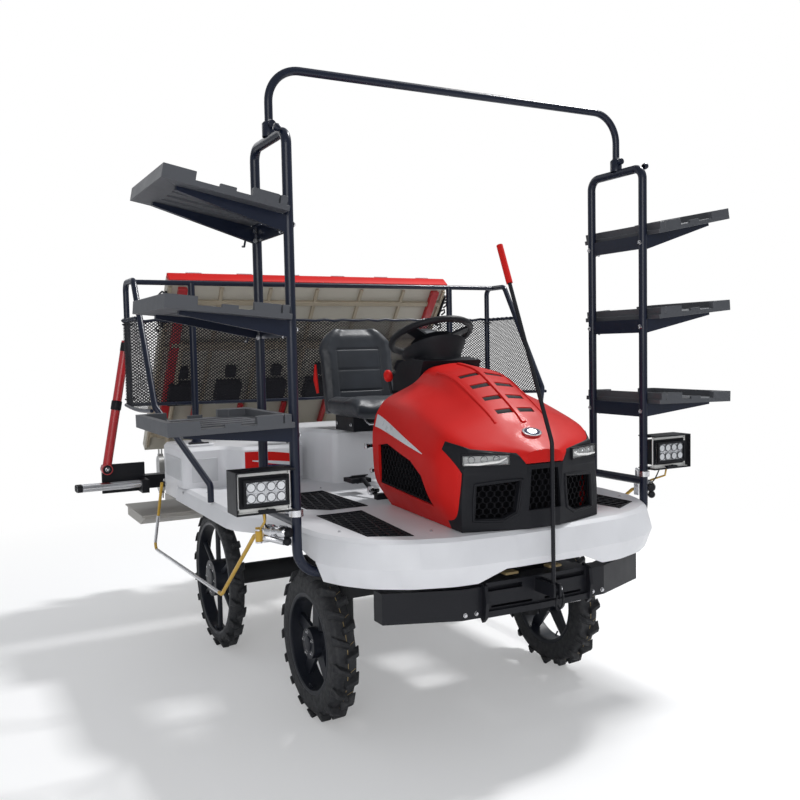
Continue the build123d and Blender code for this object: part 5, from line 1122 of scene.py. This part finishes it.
def deck_details():
    """Screws, low tread ribs and the grates' frames."""
    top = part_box("deck")[1].z
    screws, ribs, rims = builders(3)
    for hand in HANDS:
        for x, y in DECK_SCREWS:
            screws.bolt(at(hand * x, y, top - 0.0004), UP, 0.008)
        for number in range(TREAD_RIBS):
            middle = at(hand * 0.775, 0.14 + number * 0.055, top + 0.0006)
            ribs.box(middle, (0.14 - 0.006 * number, 0.012, 0.0036))
        for outline in GRATES:
            rims.tube([at(hand * x, y, top) for x, y in outline], 0.0035, 6, True)
    screws.piece("deck_screws", "chrome_steel", 40)
    ribs.piece("deck_tread_ribs", "white_plastic", bevel=0.0012)
    rims.piece("grate_frames", "black_plastic", 60)


def body_panels():
    """Inset panels, grips, plain colour panels, ribs and bolts of the rear body."""
    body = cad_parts["rear_body"]
    inset, colour, ribs, rims, grips, bolts, feet = builders(7)
    for hand in HANDS:
        drape(inset, body, lambda s, edge: at(hand * between(INSET_X, s), BODY_FRONT, between(INSET_Z, edge)),
              (10, 4), FORWARD)
        drape(inset, body, lambda s, edge: at(hand * ABOVE, between(FLANK_Y, s), between(FLANK_Z, edge)),
              (10, 4), (-hand, 0, 0))
        for colour.mark, (rise, ends, heights) in enumerate(COLOUR_PANELS):
            drape(colour, body, lambda s, edge: at(hand * between(ends, s), BODY_FRONT, heights[edge](s)),
                  (16, 4), FORWARD, rise=rise)
        for x in (0.258, 0.296):
            drape(ribs, body, lambda s, edge: at(hand * (x + 0.008 * edge), BODY_FRONT, 0.89 + 0.18 * s),
                  (12, 1), FORWARD, 0.003, 0.004)
        centre = at(hand * 0.82, 1.08, BODY_TOP + 0.006)
        rims.tube([centre + Vector((0.043 * math.copysign(1, math.cos(t)) + 0.032 * math.cos(t),
                                    0.026 * math.sin(t), 0)) for t in circle(36, 0.5)], 0.006, 8, True)
        grips.tube([centre + Vector((end * 0.052, 0, 0.003)) for end in HANDS], 0.009, 12)
        for y in (1.00, 1.37):
            bolts.bolt(at(hand * BODY_SIDE, y, 0.862), (hand, 0, 0), 0.010)
        for x in (0.36, 0.60, 0.84):
            bolts.bolt(at(hand * x, 1.420, 1.05), FORWARD, 0.010)
        feet.turned("post_foot", at(hand * 0.800, 1.200, BODY_TOP - 0.001), UP)
    inset.piece("body_inset_panels", "pale_grey", bevel=0.001)
    colour.piece("body_colour_panels", ("red_plastic", "silver_trim", "plate_blue"), 40)
    ribs.piece("body_ribs", "white_plastic", 60)
    rims.piece("body_grip_rims", "white_plastic", 60)
    grips.piece("body_grips", "black_plastic", 60)
    bolts.piece("body_bolts", "chrome_steel", 40)
    feet.piece("post_feet", "navy_tube", 40)


# ---------------------------------------------------------------- driver's place
SEAT_LATCH = ((-0.242, 0.838, 1.35), (-0.248, 0.850, 1.42), (-0.242, 0.862, 1.50))
SEAT_HANDLE = ((-0.13, 0.515, 1.222), (-0.13, 0.460, 1.205), (0.13, 0.460, 1.205), (0.13, 0.515, 1.222))
SLIDE_X = 0.135
LEVER_FOOT, LEVER_TOP = at(-0.196, 0.090, 1.38), at(-0.205, 0.100, 1.450)
PEDAL, PEDAL_TILT = at(-0.250, 0.360, 0.953), tilt("X", -18)
WHEEL_MIDDLE, WHEEL_AXIS = at(0, 0.060, 1.630), tilt("X", 24.0) @ UP


def driver_place():
    """Knob, seat slides, latch and pedal pads."""
    knob, latch, slides, pads, pivot = builders(5)
    axis = (LEVER_TOP - LEVER_FOOT).normalized()
    knob.turned("lever_knob", LEVER_TOP - axis * 0.012, axis)
    knob.piece("lever_knob", "red_plastic", 60)
    latch.tube(route(1, *SEAT_LATCH), 0.012, 10, taper=(0.6, 1.0, 0.5))
    latch.piece("seat_latch", "red_plastic", 60)
    for hand in HANDS:
        slides.box(at(hand * SLIDE_X, 0.670, 1.2375), (0.030, 0.300, 0.010))
        slides.tube(route(hand, (SLIDE_X, 0.50, 1.232), (SLIDE_X, 0.84, 1.232)), 0.006, 8)
        for y in (0.585, 0.755):
            slides.bolt(at(hand * 0.172, y, 1.195), (hand, 0, 0), 0.011)
    slides.tube(route(1, *SEAT_HANDLE), 0.006, 8)
    slides.piece("seat_slides", "chrome_steel", 40, bevel=0.001)
    for k in range(5):
        pads.box(PEDAL + PEDAL_TILT @ Vector((0, 0.016 * (k - 2), 0.011)), (0.086, 0.006, 0.006), PEDAL_TILT)
    pads.piece("pedal_ribs", "black_plastic", bevel=0.001)
    pivot.turned("pedal_boss", at(-0.285, 0.165, 0.925), (1, 0, 0))
    pivot.turned("upper_pin", at(-0.230, 0.150, 1.135), (-1, 0, 0))
    pivot.turned("lower_pin", at(-0.230, 0.150, 1.020), (-1, 0, 0))
    pivot.piece("pedal_pivots", "chrome_steel", 40)


def wheel_trim():
    """A soft cover and a plate on the steering wheel's boss."""
    for kind, lift, name, material in (("boss_cap", 0.004, "wheel_boss_cap", "black_plastic"),
                                       ("boss_plate", 0.014, "wheel_boss_plate", "grey_plastic")):
        cover = Builder()
        cover.turned(kind, WHEEL_MIDDLE + WHEEL_AXIS * lift, WHEEL_AXIS)
        cover.piece(name, material, 50, body="steering_wheel")


# ---------------------------------------------------------------- racks, shelves, clamps and rods
RACK_X, RACK_TOP = 0.865, 2.400
RACK_POSTS = ((-0.400, 1), (-0.050, -1))    # Y of each post, and the way to the rack's middle
SHELVES = (2.075, 1.690, 1.300)             # heights
TUBE_HALF = 0.019
LAMP_X, LAMP_MIDDLE = 1.000, 1.070
LAMP_TIE = ((0.995, -0.415, 0.992), (0.992, -0.408, 0.955), (0.978, -0.345, 0.930), (0.970, -0.300, 0.912),
            (0.966, -0.285, 0.900))
LAMP_LEAD = ((0.990, -0.385, 1.000), (0.975, -0.360, 0.930), (0.935, -0.350, 0.900), (0.890, -0.380, 0.870))
ROD_X = 0.968
ROD_ROUTE = ((0.245, 0.525), (1.530, 0.480), (1.300, 0.880))    # Y and Z


def rack_hardware():
    """Bolts where shelves and arch meet the racks, end caps and hooks."""
    chrome, caps = builders(2)
    for hand in HANDS:
        for height in SHELVES:
            for y, inward in RACK_POSTS:
                for rise in (-0.022, -0.058):
                    chrome.bolt(at(hand * (RACK_X + TUBE_HALF * 0.9), y + inward * 0.030, height + rise),
                                (0, -inward, 0), 0.0095)
                chrome.bolt(at(hand * (RACK_X - TUBE_HALF), y, height - 0.035), (-hand, 0, 0), 0.011)
            hook = ((-0.03, -0.045), (-0.01, -0.075), (0.012, -0.072))
            caps.tube([at(hand * 0.905, y, height + z) for y, z in hook], 0.0045, 8)
        for y, facing in ((-0.241, BACK), (-0.209, FORWARD)):
            chrome.bolt(at(hand * RACK_X, y, RACK_TOP + 0.045), facing, 0.012)
        caps.turned("arch_pin", at(hand * RACK_X, -0.255, RACK_TOP + 0.035), BACK)
        caps.turned("arch_collar", at(hand * RACK_X, -0.225, RACK_TOP - 0.008), UP)
        caps.turned("tube_knob", at(hand * 0.884, -0.385, RACK_TOP - 0.012), (hand, 0, 0.3))
    chrome.piece("rack_bolts", "chrome_steel", 40)
    caps.piece("rack_sockets", "navy_tube", 50)


def lamp_trim():
    """Bright back plate in each hood, knobs and the yellow tie below."""
    for side, hand in SIDES:
        back, knob, tie, lead = builders(4)
        for dx, dz, wide, tall in ((0.0985, 0, 0.012, 0.144), (-0.0985, 0, 0.012, 0.144),
                                   (0, -0.0655, 0.197, 0.013), (0, 0.0655, 0.197, 0.013)):
            back.box(at(hand * LAMP_X + dx, -0.424, LAMP_MIDDLE + dz), (wide, 0.004, tall))
        back.box(at(hand * LAMP_X, -0.402, 0.9985), (0.206, 0.080, 0.003))
        back.piece(f"lamp_back_{side}", "lamp_white", bevel=0.001)
        knob.box(at(hand * 0.995, -0.446, 1.000), (0.062, 0.020, 0.012))
        knob.turned("lamp_knob", at(hand * 0.995, -0.450, 1.004), BACK)
        for k in range(7):
            knob.box(at(hand * (0.935 + 0.020 * k), -0.362, LAMP_MIDDLE), (0.004, 0.012, 0.100))
        knob.piece(f"lamp_tab_{side}", "black_plastic", bevel=0.001)
        tie.tube(route(hand, *LAMP_TIE), 0.0045, 8)
        tie.piece(f"lamp_tie_{side}", "yellow_rod", 60)
        lead.tube(soft_curve(route(hand, *LAMP_LEAD), 16), 0.0032, 6)
        lead.piece(f"lamp_lead_{side}", "black_plastic", 60)


def side_rods():
    """Silver sleeve on the rods' bottom run, and the chrome barrels and knobs of their clamps."""
    for side, hand in SIDES:
        sleeve, ball, barrel, cuff = builders(4)
        rod = f"side_marker_{side}"
        first, last, upper = (at(hand * ROD_X, y, z) for y, z in ROD_ROUTE)
        sleeve.tube([first.lerp(last, 0.03), first.lerp(last, 0.955)], 0.0088, 14)
        sleeve.tube([last.lerp(upper, 0.10), last.lerp(upper, 0.52)], 0.0088, 14)
        sleeve.piece(f"rod_sleeve_{side}", "chrome_steel", 60, body=rod)
        ball.turned("rod_knob", at(hand * ROD_X, -0.262, 0.896), UP)
        ball.piece(f"rod_knob_{side}", "yellow_rod", 60, body=rod)
        low, high = route(hand, (0.905, -0.405, 0.905), (0.955, -0.335, 0.905))
        barrel.turned("clamp_barrel", low, high - low)
        barrel.turned("clamp_pipe", at(hand * 0.915, -0.40, 0.870), (hand * 0.8, 0.9, 0.2))
        barrel.piece(f"clamp_barrels_{side}", "chrome_steel", 45)
        cuff.turned("pipe_cuff", at(hand * 0.912, -0.402, 0.872), (-hand * 0.8, -0.9, 0))
        cuff.turned("barrel_cuff", low, low - high)
        cuff.piece(f"clamp_knobs_{side}", "black_plastic", 45)


# ---------------------------------------------------------------- seedling table
TABLE_TOP, TABLE_LOW = at(0, 1.365, 1.960), at(0, 2.110, 0.985)
TABLE_SLOPE = math.atan2(TABLE_LOW.z - TABLE_TOP.z, TABLE_LOW.y - TABLE_TOP.y)
TABLE_TURN = Matrix.Rotation(TABLE_SLOPE, 3, "X")
TABLE_LENGTH = (TABLE_LOW - TABLE_TOP).length
TABLE_ROWS = 6
TABLE_HALF = 0.880
TABLE_PITCH = (2 * TABLE_HALF - 0.016) / TABLE_ROWS
TABLE_HOOK = ((0.884, 1.400, 1.900), (0.910, 1.390, 1.912), (0.925, 1.412, 1.894), (0.905, 1.420, 1.878))
# pieces of the table: name, material, smoothing angle, bevel and its segments
TABLE_PIECES = {
    "belts": ("table_belts", "black_plastic", 35, 0.001, 2),
    "cleats": ("belt_cleats", "black_plastic"),
    "struts": ("table_struts", "beige_paint", 35, 0.002, 2),
    "boxes": ("table_drive_boxes", "black_plastic", 35, 0.006, 3),
    "reds": ("table_red_stays", "red_paint", 35, 0.003, 2),
    "rollers": ("table_rollers", "chrome_steel", 50),
    "hooks": ("table_hooks", "black_plastic", 50),
    "tabs": ("table_edge_tabs", "white_plastic", 35, 0.001, 2),
}
# boxes of each row: piece, X from the row's middle, share of the way down, out, and size; a length below zero
# is a share of the table's
ROW_BOXES = (
    ("belts", -0.066, 0.70, 0.033, (0.088, -0.50, 0.006)),
    ("belts", 0.066, 0.70, 0.033, (0.088, -0.50, 0.006)),
    ("struts", -0.07, 0.25, 0.032, (0.010, -0.36, 0.006)),
    ("struts", 0, 0.25, 0.032, (0.010, -0.36, 0.006)),
    ("struts", 0.07, 0.25, 0.032, (0.010, -0.36, 0.006)),
    ("boxes", 0, 0.62, -0.034, (0.150, 0.150, 0.062)),
    ("boxes", 0, 0.50, -0.020, (0.060, 0.070, 0.040)),
    ("reds", 0.110, 0.80, -0.014, (0.030, 0.200, 0.026)),
)


def on_table(x, down, out):
    """A place on the table: a share of the way down, and out from the plane of its underside."""
    return TABLE_TOP + Vector((x, 0, 0)) + TABLE_TURN @ Vector((0, TABLE_LENGTH * down, out))


def table_box(builder, x, down, out, size):
    wide, long, thick = size
    long = -long * TABLE_LENGTH if long < 0 else long
    builder.box(on_table(x, down, out), (wide, long, thick), TABLE_TURN)


def table_details():
    """Belts and rollers of the rows on the table's face, and the drive boxes and ribs under it."""
    kinds = {kind: Builder() for kind in TABLE_PIECES}
    for row in range(TABLE_ROWS):
        x = -TABLE_HALF + 0.008 + TABLE_PITCH * (row + 0.5)
        for kind, dx, down, out, size in ROW_BOXES:
            table_box(kinds[kind], x + dx, down, out, size)
        for hand in HANDS:
            for k in range(20):
                table_box(kinds["cleats"], x + hand * 0.066, 0.46 + 0.0245 * k, 0.038, (0.080, 0.006, 0.006))
        kinds["rollers"].tube([on_table(x + hand * 0.125, 0.965, 0.040) for hand in HANDS], 0.011, 12)
        table_box(kinds["tabs"], -TABLE_HALF + 0.15 + TABLE_PITCH * row, -0.016 / TABLE_LENGTH, 0.063,
                  (0.090, 0.022, 0.004))
    for k in range(TABLE_ROWS + 1):
        x = -TABLE_HALF + 0.012 + TABLE_PITCH * k * 0.9955
        table_box(kinds["struts"], x, 0.5, -0.008, (0.020, -0.96, 0.016))
    for down in (0.10, 0.36, 0.90):
        table_box(kinds["struts"], 0, down, -0.010, (2 * TABLE_HALF - 0.03, 0.030, 0.018))
    for hand in HANDS:
        table_box(kinds["reds"], hand * 0.80, 0.42, -0.016, (0.050, -0.80, 0.030))
        for k in range(5):
            foot = Vector((0, 0.025 * k, -0.045 * k))
            kinds["hooks"].tube([p + foot for p in route(hand, *TABLE_HOOK)], 0.0055, 8)
        kinds["hooks"].box(at(hand * 0.886, 1.46, 1.82), (0.010, 0.030, 0.22),
                           Matrix.Rotation(TABLE_SLOPE + math.radians(90), 3, "X"))
    for kind, settings in TABLE_PIECES.items():
        kinds[kind].piece(*settings, body="seedling_table")


# ---------------------------------------------------------------- planting unit, markers and bumper
BEAM_Y = 1.985
MARKER_Y = 1.720
POLE_Z = 0.655


def unit_details():
    """Bolts and caps of the planting unit and the tubes beside it."""
    chrome, black = builders(2)
    for hand in HANDS:
        for y in (1.720, 1.678):
            end = touch(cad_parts["guard_tubes"], at(hand * ABOVE, y, 0.828), (-hand, 0, 0))
            if end is not None and abs(end.x) > 1.0:
                black.turned("tube_plug", Vector((end.x, at(0, y, 0).y, 0.830)), (hand, 0, 0))
        for x in (0.40, 0.80, 0.95):
            chrome.bolt(at(hand * x, BEAM_Y - 0.040, 0.800), BACK, 0.013)
            chrome.bolt(at(hand * x, BEAM_Y + 0.040, 0.815), FORWARD, 0.013)
        for x in (-0.6, 0, 0.6):
            for y in (2.07, 2.14, 2.21):
                chrome.bolt(at(x + hand * 0.030, y, 0.840), UP, 0.010)
    black.piece("guard_tube_plugs", "black_plastic", 45, body="planting_unit")
    chrome.piece("beam_bolts", "chrome_steel", 40, body="planting_unit")


def marker_trim():
    """Hinge caps, a bolt and a black tip on each line marker."""
    for side, hand in SIDES:
        caps, pins = builders(2)
        foot, top = route(hand, (1.180, MARKER_Y, 0.925), (1.045, MARKER_Y, 1.650))
        axis = (top - foot).normalized()
        caps.turned("marker_tip", top - axis * 0.060, axis)
        caps.turned("marker_band", foot + axis * 0.34, axis)
        for out in (BACK, FORWARD):
            caps.turned("hinge_cap", foot + out * 0.029, out)
            pins.bolt(foot + out * 0.033, out, 0.013)
        caps.piece(f"line_marker_caps_{side}", "black_plastic", 45, body=f"line_marker_{side}")
        pins.piece(f"line_marker_pins_{side}", "chrome_steel", 40, body=f"line_marker_{side}")


def bumper_details():
    """Bolts, chrome lock plates and the loop at the pole's foot."""
    chrome, brass, loop = builders(3)
    for hand in HANDS:
        for x in (0.28, 0.33):
            chrome.bolt(at(hand * x, -0.722, 0.580), (0, -1, 0.1), 0.010)
        chrome.box(at(hand * 0.165, -0.700, 0.5545), (0.120, 0.030, 0.010))
        brass.box(at(hand * 0.105, -0.688, 0.705), (0.060, 0.040, 0.010))
    chrome.turned("pole_pin", at(0.030, -0.828, POLE_Z), (1, 0, 0))
    chrome.box(at(0.024, -0.795, POLE_Z), (0.004, 0.060, 0.018))
    loop.tube(ring_route(at(0.020, -0.838, 0.610), 0.034, 28, (0.5, 0, 0.1), (0.1, 0, 1)), 0.004, 8, True)
    chrome.piece("bumper_bolts", "chrome_steel", 40, bevel=0.001)
    brass.piece("bumper_pads", "ochre_line", bevel=0.002)
    loop.piece("bumper_loop", "black_plastic", 60)


# ---------------------------------------------------------------- rounding of the plain solids
# millimetres by which the edges of a CAD node are rounded
ROUNDED = {"deck": 4, "rear_body": 4, "front_bumper": 2, "bonnet_mask": 2.5, "shelves_left": 2,
           "shelves_right": 2, "lamp_housings": 1.5, "floats": 4, "dashboard": 3, "lower_links": 2,
           "upper_link": 2, "table_top_edge": 4, "seat_base": 2, "engine": 5}


def round_edges():
    """Rounds the edges of plain solids."""
    for name, width in ROUNDED.items():
        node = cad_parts[name]
        modify(node, "joined", "WELD", merge_threshold=0.00001)
        modify(node, "rounded", "BEVEL", width=width / 1000, segments=2, limit_method="ANGLE",
               angle_limit=math.radians(28), harden_normals=True)


camera()
light()
floor()
materials()
dress_nodes()
seat()
guard_net()
work_lamps()
for end in WHEELS:
    for side, _ in SIDES:
        tyre(end, side)
rims()
bonnet_trim(bonnet())
bay_grilles_and_shade()
mask_frames()
headlamps()
deck_details()
body_panels()
driver_place()
wheel_trim()
rack_hardware()
lamp_trim()
side_rods()
table_details()
unit_details()
marker_trim()
bumper_details()
round_edges()

view = bpy.context.scene.view_settings
view.view_transform = "Standard"
